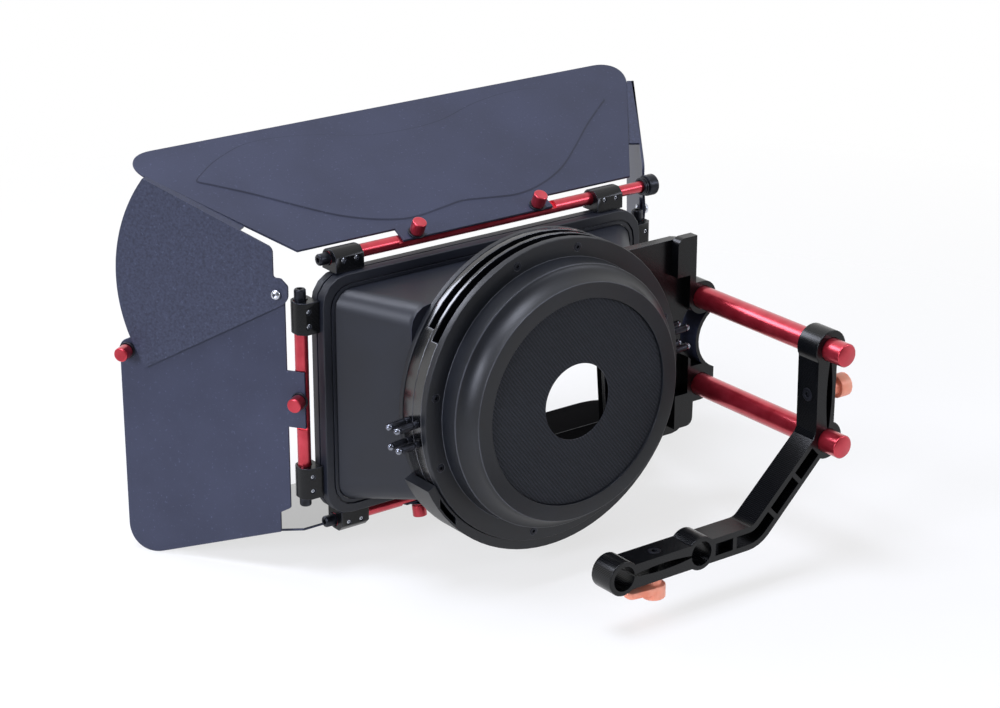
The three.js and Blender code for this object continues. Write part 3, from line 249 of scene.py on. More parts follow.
# %% Material: ribbed fabric
RIB_SLANT = math.radians(38)
ribbed_fabric, tree, shader, place = new_material("ribbed_elastic_fabric")
slanted = add(tree, "Mapping", {"Rotation": (0, RIB_SLANT, 0)}, {"Vector": place}).outputs["Vector"]
ribs = add(tree, "TexWave", {"bands_direction": "X", "Scale": 165, "Distortion": 0.6, "Detail": 1},
           {"Vector": slanted})
threads = add(tree, "TexWave", {"bands_direction": "Z", "Scale": 520, "Distortion": 0.8, "Detail": 1},
              {"Vector": slanted})
weave = add(tree, "Mix", {"Factor": 0.3}, {"A": ribs.outputs["Fac"], "B": threads.outputs["Fac"]})
fade = add(tree, "TexNoise", {"Scale": 30, "Detail": 4}, {"Vector": place})
yarn = add(tree, "Math", {"operation": "MULTIPLY_ADD", 1: 0.35},
           {0: fade.outputs["Fac"], 2: weave.outputs["Result"]})
tone = add(tree, "ValToRGB", {}, {"Fac": yarn.outputs["Value"]}, ((0.25, "#0c0e12"), (0.95, "#24272e")))
relief = add(tree, "Bump", {"Strength": 0.6, "Distance": 0.0005}, {"Height": weave.outputs["Result"]})
fill(shader, {"Roughness": 0.85, "Sheen Weight": 0.15, "Specular IOR Level": 0.2},
     {"Base Color": tone.outputs["Color"], "Normal": relief.outputs["Normal"]})
print("made", ribbed_fabric.name)

# %% [markdown]
# ## Shared steps
# Everything that is added or joined works on what is selected, and the frame arrives selected, so the first
# helper clears the selection. The others place and smooth a piece. Turns are in degrees and shifts in
# millimetres.

# %% Helpers for pieces
SMOOTH_ANGLE = math.radians(50)
MERGE_DISTANCE = 0.004 * MILLIMETRE


def deselect():
    bpy.ops.object.select_all(action="DESELECT")


def mode(name):
    bpy.ops.object.mode_set(mode=name)


def select(action):
    bpy.ops.mesh.select_all(action=action)


def select_only(piece, kind, indices):
    activate(piece)
    mode("EDIT")
    select("DESELECT")
    mode("OBJECT")
    for i in indices:
        getattr(piece.data, kind)[i].select = True
    mode("EDIT")


def face_outward():
    mode("EDIT")
    select("SELECT")
    bpy.ops.mesh.normals_make_consistent(inside=False)
    mode("OBJECT")


def shift(x, y, z):
    return Matrix.Translation(mm(x, y, z))


def rotate(degrees, axis):
    return Matrix.Rotation(math.radians(degrees), 4, axis)


def activate(piece):
    deselect()
    piece.select_set(True)
    bpy.context.view_layer.objects.active = piece


def apply_modifier(piece, kind, **settings):
    activate(piece)
    modifier = piece.modifiers.new(kind.lower(), kind)
    for name, value in settings.items():
        setattr(modifier, name, value)
    bpy.ops.object.modifier_apply(modifier=modifier.name)


def settle(piece, matrix):
    activate(piece)
    piece.matrix_world = matrix
    bpy.ops.object.transform_apply(location=True, rotation=True, scale=True)


def smooth(piece):
    activate(piece)
    bpy.ops.object.shade_smooth_by_angle(angle=SMOOTH_ANGLE)
    apply_modifier(piece, "WEIGHTED_NORMAL", keep_sharp=True)


# %% [markdown]
# Each black finish has a paler version that only the chamfers get: a painted highlight, the thin bright line
# that light draws along an edge, together with the wear that handling rubs into it. Two more finishes are
# variants too: the stage's front and middle rings are turned, not blasted, and shine more, and the tips of
# the lock pins are a duller steel.

# %% Variants of the finishes


def variant(material, dull, bright, name):
    copy = material.copy()
    copy.name = name
    ramp = next(node for node in copy.node_tree.nodes if node.type == "VALTORGB").color_ramp
    ramp.elements[0].color, ramp.elements[1].color = linear(dull), linear(bright)
    return copy


dull_steel = variant(bright_steel, "#6b6e78", "#8a8d97", "brushed_dull_steel")
ring_black = variant(milled_black, "#08090b", "#0f1013", "turned_gloss_black_anodising")
tree = ring_black.node_tree
fill(tree.nodes["Principled BSDF"], {"Specular IOR Level": 0.9})
fill(tree.nodes["Map Range"], {"To Min": 0.14, "To Max": 0.22})
# paler copies for the chamfers: painted edge highlight, with some wear
WORN_AND_HIGHLIT = {}
for finish, dull, bright in ((blasted_black, "#2a2b30", "#42444b"), (milled_black, "#1c1e25", "#343741"),
                             (ring_black, "#2a2b30", "#42444b"), (moulded_black, "#1d202b", "#323644")):
    WORN_AND_HIGHLIT[finish.name] = variant(finish, dull, bright, finish.name + "_worn_and_painted_highlight_edge")
print("worn versions:", len(WORN_AND_HIGHLIT))

# %% [markdown]
# A finished piece is placed, smoothed and given its material, and stands for its solid: the solid is hidden,
# and the piece rides on the solid's body. Its distance from the solid is printed as a check. A small part
# that no solid stands for is only placed on a body. Some pieces get a second material on the faces that a
# small test picks out.

# %% Hand a piece to the frame


def hand_over(piece, node, material=None, matrix=None):
    if matrix is not None:
        settle(piece, matrix)
    smooth(piece)
    if material:
        slots = piece.data.materials
        if slots:
            slots[0] = material
        else:
            slots.append(material)
        # the second slot is the paler edge finish: a painted highlight along the chamfers, with some wear
        if material.name in WORN_AND_HIGHLIT and len(slots) < 2:
            slots.append(WORN_AND_HIGHLIT[material.name])
    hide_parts(node)
    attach(piece, BODY[node])
    low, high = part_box(node)
    middle = sum((Vector(corner) for corner in piece.bound_box), Vector()) / 8
    offset = ((low + high) / 2 - middle).length / MILLIMETRE
    print(piece.name, size_of(piece), "mm, off its solid by", round(offset, 2))


def add_part(piece, matrix, material, node):
    settle(piece, matrix)
    smooth(piece)
    piece.data.materials.clear()
    piece.data.materials.append(material)
    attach(piece, BODY[node])


def paint(piece, material, chosen):
    piece.data.materials.append(material)
    faces = [face for face in piece.data.polygons if chosen(face)]
    for face in faces:
        face.material_index = len(piece.data.materials) - 1
    print(len(faces), "faces of", piece.name, "in", material.name)


def size_of(piece):
    return [round(v / MILLIMETRE, 1) for v in piece.dimensions]


# %% [markdown]
# ## Machined pieces
# A solid from the frame has perfectly sharp edges, and no real edge is: each catches a thin line of light.
# The solid's mesh may not change, so a copy is merged, its flat faces are joined, and its sharp edges get a
# chamfer of a few tenths of a millimetre with two steps. The copy then stands for the solid.

# %% Copy a solid, cut it, break its edges


def cleaned(node):
    piece = bpy.data.objects.new(node + "_finished", frame["nodes"][node].data.copy())
    bpy.context.scene.collection.objects.link(piece)
    activate(piece)
    bpy.ops.mesh.customdata_custom_splitnormals_clear()
    mode("EDIT")
    select("SELECT")
    bpy.ops.mesh.remove_doubles(threshold=MERGE_DISTANCE)
    bpy.ops.mesh.dissolve_limited(angle_limit=math.radians(0.3))
    mode("OBJECT")
    return piece


def cut(piece, cutter, operation="DIFFERENCE"):
    apply_modifier(piece, "BOOLEAN", operation=operation, solver="EXACT", object=cutter)
    bpy.data.objects.remove(cutter)


def break_edges(piece, width, slot=-1):
    apply_modifier(piece, "BEVEL", material=slot, width=width * MILLIMETRE, segments=2, limit_method="ANGLE",
                   angle_limit=SMOOTH_ANGLE)


def placed(matrix):
    piece = bpy.context.object
    settle(piece, matrix)
    return piece


def drum_at(sides, radius, length, matrix):
    deselect()
    bpy.ops.mesh.primitive_cylinder_add(vertices=sides, radius=radius * MILLIMETRE, depth=length * MILLIMETRE)
    return placed(matrix)


def block_at(size, matrix):
    deselect()
    bpy.ops.mesh.primitive_cube_add(size=MILLIMETRE)
    return placed(matrix @ Matrix.Diagonal((*size, 1)))


# %% Break the edges of a piece and hand it over


def edged(piece, node, width, surface):
    # bevel faces take the paler edge finish: a painted highlight along the edge, with some wear
    if surface.name in WORN_AND_HIGHLIT:
        piece.data.materials.append(WORN_AND_HIGHLIT[surface.name])
    break_edges(piece, width, len(piece.data.materials) - 1)
    hand_over(piece, node, surface)


# %% Pieces that only need their edges broken
for node, width, surface in (
    ("support_arm", 0.9, milled_black), ("stage_rear_flange", 0.6, blasted_black),
    ("stage_middle_ring", 0.45, ring_black), ("stage_front_ring", 0.45, ring_black),
    ("hood_shell", 0.6, moulded_black), ("hood_frame", 0.5, moulded_black),
    ("filter_tray_rear", 0.4, milled_black), ("filter_tray_front", 0.4, milled_black),
    ("lower_clamp_lever", 0.8, orange_anodised), ("side_clamp_lever", 0.8, orange_anodised),
    ("lower_clamp_screw", 0.25, black_steel), ("side_clamp_screw", 0.25, black_steel),
):
    edged(cleaned(node), node, width, surface)

# %% [markdown]
# Stray light inside the box would fog the picture. So the faces of the hood and of two rings that look
# towards the optical axis are flocked.

# %% Matt inside of the hood
AXIS_HEIGHT = 79
FACES_AXIS, FACES_ALONG = -0.3, 0.9
optical_axis = mm(0, 0, AXIS_HEIGHT)


def looks_inward(face):
    away = face.center - optical_axis
    away.y = 0
    return face.normal.dot(away.normalized()) < FACES_AXIS and abs(face.normal.y) < FACES_ALONG


for node in ("hood_shell", "stage_front_ring", "stage_middle_ring"):
    paint(bpy.data.objects[node + "_finished"], black_flock_and_shade, looks_inward)

# %% [markdown]
# Three pieces are reshaped first. The bracket's relief is a curved wall that stands free over its whole
# depth, so what lies to its left is cut away. The cutter is a drum as wide as the wall, set further left and
# up, less the wall's own drum and the rod bosses: a crescent. A narrower one also goes through the plate,
# which would hide the wall. The base ring's guard shows one pocket only, so the other is filled with a block.
# The wall is given the flags' paler coat as painted light, for the light it catches from the left.

# %% Crescent cutter
RELIEF_OFFSET, RELIEF_OUTER, ROD_HALF_SPACING, BOSS_RADIUS = 19.5, 24.5, 29.7, 10.9
upper_low, upper_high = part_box("side_rod_upper")
side_rod_x = (upper_low.x + upper_high.x) / 2 / MILLIMETRE
along_y = rotate(-90, "X")


def crescent(aside, up, rear, front):
    middle = shift(side_rod_x, (rear + front) / 2, AXIS_HEIGHT)
    place = middle @ shift(RELIEF_OFFSET, 0, 0) @ along_y
    cutter = drum_at(96, RELIEF_OUTER, front - rear, shift(-aside, 0, up) @ place)
    cut(cutter, drum_at(96, RELIEF_OUTER, front - rear + 2, place))
    for end in (-1, 1):
        boss_place = middle @ shift(0, 0, end * ROD_HALF_SPACING) @ along_y
        cut(cutter, drum_at(64, BOSS_RADIUS, front - rear + 2, boss_place))
    return cutter


# %% Bracket, plate and base ring
WIDE_CRESCENT, NARROW_CRESCENT = (12.7, 8, 110, 118), (7.2, 4.6, 117.5, 128)
GUARD_MIDDLE, GUARD_REAR = 101.5, 100.05
POCKET_ANGLE, POCKET_SIZE = 229.5, (4, 11, 20.4)
bracket = cleaned("side_bracket")
cut(bracket, crescent(*WIDE_CRESCENT))
cut(bracket, crescent(*NARROW_CRESCENT))
plate = cleaned("mounting_plate")
cut(plate, crescent(*NARROW_CRESCENT))
base_ring = cleaned("stage_base_ring")
around_axis = shift(0, GUARD_REAR + POCKET_SIZE[1] / 2, AXIS_HEIGHT) @ rotate(-POCKET_ANGLE, "Y")
cut(base_ring, block_at(POCKET_SIZE, around_axis @ shift(GUARD_MIDDLE, 0, 0)), "UNION")
edged(bracket, "side_bracket", 0.8, milled_black)
edged(plate, "mounting_plate", 0.6, milled_black)
edged(base_ring, "stage_base_ring", 0.35, blasted_black)

# %% Paint light onto the relief wall
relief_axis = mm(side_rod_x + RELIEF_OFFSET, AXIS_HEIGHT)


def relief_painted_light(face):
    off_wall = abs((face.center.xz - relief_axis).length / MILLIMETRE - RELIEF_OUTER)
    return off_wall < 0.3 and abs(face.normal.y) < 0.1


# the paler coat on the wall is painted light, not the bracket's own finish
paint(bracket, powder_coat, relief_painted_light)

# %% [markdown]
# ## Turned pieces
# A lathe sweeps a profile round an axis, and Blender's spin does the same. The profile starts as a plane
# collapsed to one point, which is extruded from corner to corner and then spun. It is drawn as radius and
# height about Z, and moved to its own axis afterwards.

# %% Turn a profile


def trace(name, points):
    deselect()
    bpy.ops.mesh.primitive_plane_add(size=MILLIMETRE)
    piece = bpy.context.object
    piece.name = name
    mode("EDIT")
    bpy.ops.mesh.select_mode(type="VERT")
    bpy.ops.mesh.merge(type="CENTER")
    bpy.ops.transform.translate(value=points[0])
    for before, here in zip(points, points[1:]):
        bpy.ops.mesh.extrude_region_move(TRANSFORM_OT_translate={"value": here - before})
    select("SELECT")
    return piece


def lathe(name, profile, steps):
    piece = trace(name, [mm(radius, 0, height) for radius, height in profile])
    bpy.ops.mesh.spin(steps=steps, angle=math.tau, center=(0, 0, 0), axis=(0, 0, 1))
    select("SELECT")
    bpy.ops.mesh.remove_doubles(threshold=MERGE_DISTANCE)
    face_outward()
    return piece


# %% [markdown]
# The donut holder is the ring nearest the camera. It grips the fabric in a shallow recess and is stepped
# behind. Its outer shoulder is a hollow curve, a cove, that starts flat at the crease and runs up to a crisp
# rim, so its profile has many points there, and 144 steps round keep its outline free of corners. Rim and
# foot get the paler edge finish: a painted highlight along those edges, with some wear.

# %% Donut holder
STAGE_TURN = -4.25
HOLDER_REAR, HOLDER_FACE = 72.8, 85.2
OPENING_RADIUS, RIM_RADIUS, SHOULDER_RADIUS = 66.3, 76.7, 85
EDGE, COVE_STEPS, COVE_DEPTH = 0.5, 16, 0.75
stage_place = shift(0, 0, AXIS_HEIGHT) @ rotate(STAGE_TURN, "Y")
to_optical_axis = stage_place @ rotate(-90, "X")

cove_low, cove_rise = HOLDER_REAR + EDGE, HOLDER_FACE - 0.4 - HOLDER_REAR - EDGE
cove_foot, cove_width = SHOULDER_RADIUS - 0.8, SHOULDER_RADIUS - 0.8 - RIM_RADIUS
cove = []
for i in range(COVE_STEPS + 1):
    share = i / COVE_STEPS
    angle = math.radians(90 * (1 - share))
    inward = COVE_DEPTH * math.sin(angle) + (1 - COVE_DEPTH) * (1 - share)
    rise = COVE_DEPTH * math.cos(angle) + (1 - COVE_DEPTH) * share
    cove.append((cove_foot - cove_width * inward, cove_low + cove_rise * rise))
shoulder = [(RIM_RADIUS - EDGE, HOLDER_REAR), (RIM_RADIUS - 0.15, HOLDER_REAR + 0.15), *cove,
            (SHOULDER_RADIUS - 0.3, HOLDER_FACE - 0.35), (SHOULDER_RADIUS, HOLDER_FACE)]
holder = lathe("donut_holder_turned", [
    (OPENING_RADIUS, HOLDER_REAR + 0.4), (OPENING_RADIUS + 0.4, HOLDER_REAR), *shoulder, (73.7, HOLDER_FACE),
    (73.7, 91.2), (70, 91.2), (70, 78.7), (62, 78.7), (62, 76.7), (OPENING_RADIUS, 76.7),
    (OPENING_RADIUS, HOLDER_REAR + 0.4),
], 144)


# rim and foot faces: painted edge highlight, with some wear
def worn_and_highlit_spot(face):
    radius, height = face.center.xy.length / MILLIMETRE, face.center.z / MILLIMETRE
    on_rim = RIM_RADIUS - EDGE < radius < RIM_RADIUS and height < HOLDER_REAR + EDGE
    on_foot = radius > SHOULDER_RADIUS - 0.35 and height < HOLDER_FACE
    return abs(face.normal.z) < 0.98 and (on_rim or on_foot)


holder.data.materials.append(blasted_black)
paint(holder, WORN_AND_HIGHLIT[blasted_black.name], worn_and_highlit_spot)
hand_over(holder, "donut_holder", blasted_black, to_optical_axis)

# %% [markdown]
# The donut's fabric is cut as a flat ring, 132 mm across with a 49 mm hole, and stretched in the holder.
# Tension keeps it nearly flat, with a slight dish towards the hole, so it is spun from a shallow profile as
# a single layer, and a thin wall is added. No simulation is needed, because a taut sheet doesn't fold.

# %% Donut fabric
FABRIC_OUTER, FABRIC_HOLE, FABRIC_HEIGHT = 66, 24.6, 75
FABRIC_THICKNESS, FABRIC_DISH, FABRIC_RINGS = 0.9, 0.5, 24
layers = []
for i in range(FABRIC_RINGS + 1):
    share = i / FABRIC_RINGS
    radius = FABRIC_OUTER + (FABRIC_HOLE - FABRIC_OUTER) * share
    layers.append((radius, FABRIC_HEIGHT + FABRIC_DISH * math.sin(share * math.pi / 2)))
fabric = lathe("donut_fabric_ring", layers, 144)
apply_modifier(fabric, "SOLIDIFY", thickness=FABRIC_THICKNESS * MILLIMETRE, offset=0)
hand_over(fabric, "donut_membrane", ribbed_fabric, to_optical_axis)

# %% [markdown]
# The two side rods are the standard 15 mm kind. Each is one turned bar with a small chamfer at both ends.

# %% Side rods
ROD_RADIUS, ROD_CHAMFER, ROD_REAR, ROD_FRONT = 7.5, 0.9, -23, 127
rod_profile = [(0, ROD_REAR), (ROD_RADIUS - ROD_CHAMFER, ROD_REAR), (ROD_RADIUS, ROD_REAR + ROD_CHAMFER),
               (ROD_RADIUS, ROD_FRONT - ROD_CHAMFER), (ROD_RADIUS - ROD_CHAMFER, ROD_FRONT), (0, ROD_FRONT)]
for node in ("side_rod_upper", "side_rod_lower"):
    box_low, box_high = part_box(node)
    centre = (box_low + box_high) / 2
    rod = lathe(node + "_turned", rod_profile, 64)
    hand_over(rod, node, red_anodised, Matrix.Translation((centre.x, 0, centre.z)) @ along_y)

# %% [markdown]
# ## Thumbscrews
# Eight red thumbscrews lock the flags and wings. Each has a plain drum head with a chamfered rim and a
# shallow dished top, a short neck, a black washer and a thin shank. It is turned along Z and moved to its
# own hole, square to the sheet it holds.

# %% Model one thumbscrew
HEAD_RADIUS, HEAD_HEIGHT, SHANK_RADIUS = 4.6, 7.8, 1.9


def thumbscrew(name, lift):
    washer = 0.3 + lift
    neck = washer + 1
    head = neck + 1
    top = head + HEAD_HEIGHT
    screw = lathe(name, [
        (0, -5.6), (1.5, -5.6), (SHANK_RADIUS, -5.2), (SHANK_RADIUS, washer), (5.2, washer),
        (5.4, washer + 0.2), (5.4, neck - 0.2), (5.2, neck), (3.8, neck), (3.8, head),
        (HEAD_RADIUS - 0.4, head), (HEAD_RADIUS, head + 0.4), (HEAD_RADIUS, top - 0.7),
        (HEAD_RADIUS - 0.25, top - 0.25), (HEAD_RADIUS - 0.8, top), (HEAD_RADIUS - 1.4, top - 0.05),
        (0, top - 0.2),
    ], 48)
    screw.data.materials.append(red_anodised)
    paint(screw, black_steel, lambda face: washer - 0.01 < face.center.z / MILLIMETRE < neck + 0.01
          and face.center.xy.length / MILLIMETRE > SHANK_RADIUS + 0.1)
    return screw


# %% Holes of the thumbscrews
SIDES = (("left", -1), ("right", 1))
SHEET_LOW, SHEET_OUTER = 2.4, 4.0
TOP_OPEN, BOTTOM_OPEN, SIDE_OPEN = (math.radians(angle) for angle in (26.6, 11.5, 34))
HINGE_X, HINGE_Y, HINGE_TOP, HINGE_FOOT = 131.5, 180, 165.5, -7.5
SCREW_X = 47
WING_SCREW_REACH, WING_SCREW_HEIGHT, WING_LIFT = 115, 98.5, 2.0
top_normal = Vector((0, -math.sin(TOP_OPEN), math.cos(TOP_OPEN)))
bottom_normal = Vector((0, -math.sin(BOTTOM_OPEN), -math.cos(BOTTOM_OPEN)))
screw_places = {}
for end, side in SIDES:
    side_normal = Vector((side * math.cos(SIDE_OPEN), -math.sin(SIDE_OPEN), 0))
    side_along = Vector((side * math.sin(SIDE_OPEN), math.cos(SIDE_OPEN), 0))
    wing_place = mm(side * HINGE_X, HINGE_Y, WING_SCREW_HEIGHT) + side_along * WING_SCREW_REACH * MILLIMETRE
    screw_places[f"thumbscrew_top_{end}"] = (mm(side * SCREW_X, HINGE_Y, HINGE_TOP), top_normal, 0)
    screw_places[f"thumbscrew_bottom_{end}"] = (mm(side * SCREW_X, HINGE_Y, HINGE_FOOT), bottom_normal, 0)
    screw_places[f"thumbscrew_{end}"] = (mm(side * HINGE_X, HINGE_Y, AXIS_HEIGHT), side_normal, 0)
    screw_places[f"thumbscrew_{end}_wing"] = (wing_place, side_normal, WING_LIFT)
print("thumbscrews:", len(screw_places))

# %% Place the thumbscrews
for node, (hole, normal, lift) in screw_places.items():
    screw = thumbscrew(node + "_turned", lift)
    base = Matrix.Translation(hole + normal * SHEET_OUTER * MILLIMETRE)
    tilt = Vector((0, 0, 1)).rotation_difference(normal).to_matrix().to_4x4()
    hand_over(screw, node, matrix=base @ tilt)

# %% [markdown]
# ## Knurls
# The lock pins and the knob of the top rod are knurled for grip: two crossed sets of grooves leave small
# diamonds. On a grid of points round a cylinder, drawing in every second point does the same, so the drum
# is turned with many rings, and those points are selected in code and scaled towards the axis.

# %% Knurl a drum


def knurl(piece, radius, low, high, depth):
    drum = [v for v in piece.data.vertices if low <= v.co.z / MILLIMETRE <= high
            and abs(v.co.xy.length / MILLIMETRE - radius) < 0.01]
    rings = sorted({round(v.co.z, 6) for v in drum})
    steps = len(drum) // len(rings)
    around = [round(math.atan2(v.co.y, v.co.x) / math.tau * steps) for v in drum]
    second = [v.index for v, step in zip(drum, around) if (rings.index(round(v.co.z, 6)) + step) % 2 == 1]
    select_only(piece, "vertices", second)
    share = 1 - depth / radius
    bpy.ops.transform.resize(value=(share, share, 1))
    mode("OBJECT")


# %% [markdown]
# The lock pins hold the filter trays in their slots. Each is a steel plunger with a domed tip, and a knurled
# black sleeve to pull it by. It is turned along Z, knurled, and laid down on the turned stage.

# %% Turn a lock pin
PIN_RADIUS = 2.4
PLUNGER_END, SLEEVE_START, SLEEVE_END, DOME_START, PIN_TIP = 98, 102.5, 111.2, 111.95, 115
DOME_MIDDLE, DOME_RADIUS, KNURLS = 112.75, 2.25, 14
knurl_step = (SLEEVE_END - SLEEVE_START) / KNURLS
sleeve_rings = [(PIN_RADIUS, SLEEVE_START + i * knurl_step) for i in range(KNURLS + 1)]
rises = [math.radians(-20 + 110 * i / 7) for i in range(7)]
dome = [(DOME_RADIUS * math.cos(rise), DOME_MIDDLE + DOME_RADIUS * math.sin(rise)) for rise in rises]


def lock_pin(name):
    pin = lathe(name, [
        (0, 56.3), (1.5, 56.3), (1.5, 98.3), (2.2, 98.3), (2.4, 98.5), (2.4, 101.0), (2.2, 101.3),
        (1.7, 101.4), (1.7, 102.2), (2.2, 102.3), *sleeve_rings, (2.2, 111.4), (1.75, 111.5), (1.75, 111.9),
        *dome, (0, PIN_TIP),
    ], 24)
    knurl(pin, PIN_RADIUS, SLEEVE_START - 0.01, SLEEVE_END + 0.01, 0.22)
    pin.data.materials.append(black_steel)
    paint(pin, dull_steel, lambda face: not PLUNGER_END < face.center.z / MILLIMETRE < DOME_START)
    return pin


# %% Place the lock pins
REAR_SLOT_Y, FRONT_SLOT_Y, PIN_RISE = 105.25, 113.75, 6.5
for row, depth in (("rear", REAR_SLOT_Y), ("front", FRONT_SLOT_Y)):
    for end, side in SIDES:
        for level, rise in (("lower", -PIN_RISE), ("upper", PIN_RISE)):
            node = f"lock_pin_{row}_{end}_{level}"
            pin = lock_pin(node + "_turned")
            hand_over(pin, node, matrix=stage_place @ shift(0, depth, rise) @ rotate(90 * side, "Y"))

# %% [markdown]
# The knob on the right end of the top rod turns it. It has a grooved collar, a knurled drum and a flat face
# with a shallow recess, and is turned like the pins.

# %% Rod knob
KNOB_FACE, KNOB_RADIUS = 133.7, 7
drum = [(KNOB_RADIUS, 4.6 + i * 5.4 / 9) for i in range(10)]
knob = lathe("top_rod_knob_turned", [
    (0, 3.4), (0, 3.2), (4.35, 3.2), (4.35, 0), (5.6, 0), (5.8, 0.2), (5.8, 1.1), (5.3, 1.3), (5.3, 1.8),
    (5.8, 2.0), (5.8, 2.9), (5.3, 3.1), (5.3, 3.6), (6.6, 3.8), (6.9, 4.1), *drum, (6.8, 10.5),
    (6.3, 11.1), (5.7, 11.3), (5.0, 11.3), (4.8, 11.0), (0, 11.0),
], 60)
knurl(knob, KNOB_RADIUS, 4.5, 10.1, 0.3)
hand_over(knob, "top_rod_knob", black_steel, shift(KNOB_FACE, HINGE_Y, HINGE_TOP) @ rotate(90, "Y"))

# %% [markdown]
# ## Hinge blocks
# Eight blocks hold the rods on the hood's frame. Each clamps its rod with two small set screws, sunk in the
# face that looks back at the camera. The holes are cut from the copy of the solid with a boolean, before
# its edges are broken, and a bright screw with a hexagon socket sits in each.

# %% Blocks with their set screws
SET_RADIUS, SET_DEPTH, SET_SUNK, SET_SPACING, SET_LENGTH = 1.6, 2.2, 0.5, 9.4, 1.6
SET_BODY = SET_RADIUS - 0.1
BLOCKS = [f"hinge_block_{end}_{level}" for end, side in SIDES for level in ("lower", "upper")]
BLOCKS += [f"hinge_block_{level}_{end}" for level in ("bottom", "top") for end, side in SIDES]
facing_back = rotate(90, "X")


def cut_socket(screw, radius, depth, height=0):
    cut(screw, drum_at(6, radius, depth, shift(0, 0, height)))


for node in BLOCKS:
    low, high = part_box(node)
    upright = "lower" in node or "upper" in node
    spot = (low + high) / 2
    spot.y = low.y
    if upright:
        spot.x = math.copysign(HINGE_X * MILLIMETRE, spot.x)
    else:
        spot.z = (HINGE_TOP if "top" in node else HINGE_FOOT) * MILLIMETRE
    step = Vector((0, 0, 1)) if upright else Vector((1, 0, 0))
    block = cleaned(node)
    for mark, end in (("a", -1), ("b", 1)):
        place = Matrix.Translation(spot + step * end * SET_SPACING / 2 * MILLIMETRE) @ facing_back
        cut(block, drum_at(20, SET_RADIUS, 2 * SET_DEPTH, place))
        screw = lathe(f"{node}_set_screw_{mark}", [
            (0, -SET_LENGTH), (SET_BODY - 0.2, -SET_LENGTH), (SET_BODY, 0.2 - SET_LENGTH), (SET_BODY, -0.25),
            (SET_BODY - 0.25, 0), (0, 0)], 24)
        cut_socket(screw, 0.8, 2)
        add_part(screw, place @ shift(0, 0, -SET_SUNK), bright_steel, node)
    edged(block, node, 0.35, milled_black)

# %% [markdown]
# ## Flange screws
# Eight countersunk screws hold the donut's flange to the stage, in pairs on either side of each quarter.
# They are black, with a hexagon socket that shows as a dark point.

# %% Flange screws
FLANGE_REAR, SCREW_CIRCLE, SCREW_ANGLE = 97.3, 91.75, 14.5
for quarter in range(4):
    for mark, end in (("a", -1), ("b", 1)):
        angle = math.radians(90 * quarter + end * SCREW_ANGLE)
        screw = lathe(f"flange_screw_{quarter}_{mark}", [
            (0, -1.5), (1.3, -1.5), (2.55, -0.15), (2.55, 0.05), (2.3, 0.15), (0, 0.15)], 28)
        cut_socket(screw, 1.15, 1.7)
        spot = shift(SCREW_CIRCLE * math.cos(angle), FLANGE_REAR, SCREW_CIRCLE * math.sin(angle))
        add_part(screw, stage_place @ spot @ facing_back, black_steel, "stage_rear_flange")
print("flange screws: 8")

# %% [markdown]
# ## Sheet metal
# The flags and wings are cut from 1.6 mm aluminium sheet. Their outline is traced corner by corner, as a
# drawing gives it, closed to a face, and each corner is rounded by its own radius with a vertex bevel. The
# face is then pulled up to the thickness of the sheet. A rounding starts where it touches the edge, so its
# reach along the edge is worked out from the angle between the two sides.

# %% Cut a sheet
ROUNDING_STEPS = 14


def sheet(name, corners, low, high):
    flat = [Vector(corner[:2]) for corner in corners]
    piece = trace(name, [mm(point.x, point.y, low) for point in flat])
    bpy.ops.mesh.edge_face_add()
    for i, corner in enumerate(corners):
        if len(corner) < 3:
            continue
        before = (flat[i - 1] - flat[i]).normalized()
        after = (flat[(i + 1) % len(flat)] - flat[i]).normalized()
        reach = corner[2] / math.tan(before.angle(after) / 2)
        mode("OBJECT")
        here = mm(*flat[i], low)
        at_corner = [v.index for v in piece.data.vertices if (v.co - here).length < MERGE_DISTANCE]
        select_only(piece, "vertices", at_corner)
        bpy.ops.mesh.bevel(offset_type="OFFSET", offset=reach * MILLIMETRE, segments=ROUNDING_STEPS,
                           affect="VERTICES", profile=0.5)
    select("SELECT")
    bpy.ops.mesh.extrude_region_move(TRANSFORM_OT_translate={"value": mm(0, 0, high - low)})
    face_outward()
    return piece


def hinge_frame(side, level):
    if level:
        height, opening = (HINGE_TOP, TOP_OPEN) if side > 0 else (HINGE_FOOT, -BOTTOM_OPEN)
        return shift(0, HINGE_Y, height) @ Matrix.Rotation(opening, 4, "X")
    return shift(side * HINGE_X, HINGE_Y, AXIS_HEIGHT) @ Matrix.Rotation(-side * SIDE_OPEN, 4, "Z")


# %% [markdown]
# The top and bottom flags share one outline: a tab that lies on the flat of the rod, and a sheet that
# widens forward to round corners.
#
# A wavy panel is pressed up in the top flag to stiffen it. Its outline was read off the photograph as points
# on the flat sheet, and a curve is drawn through them. The filled outline is inset and raised, which gives
# its sloping wall, and joined to the sheet. The sloping wall gets a darker coat, as painted shade along the
# bend.

# %% Level flags
TAB_HALF, TAB_REACH, FLAG_EDGE = 58, -3.2, 7.5
REAR_HALF, FRONT_HALF, FLAG_REACH, FLAG_ROUNDING = 129.1, 202.9, 114.5, 15.5
level_half = [(TAB_HALF, TAB_REACH), (TAB_HALF, FLAG_EDGE), (REAR_HALF, FLAG_EDGE, 0.6),
              (FRONT_HALF, FLAG_REACH, FLAG_ROUNDING)]
level_outline = level_half + [(-corner[0], *corner[1:]) for corner in reversed(level_half)]
top_flag = sheet("top_flag_sheet", level_outline, SHEET_LOW, SHEET_OUTER)
bottom_flag = sheet("bottom_flag_sheet", level_outline, -SHEET_OUTER, -SHEET_LOW)
print("top flag:", size_of(top_flag), "mm")

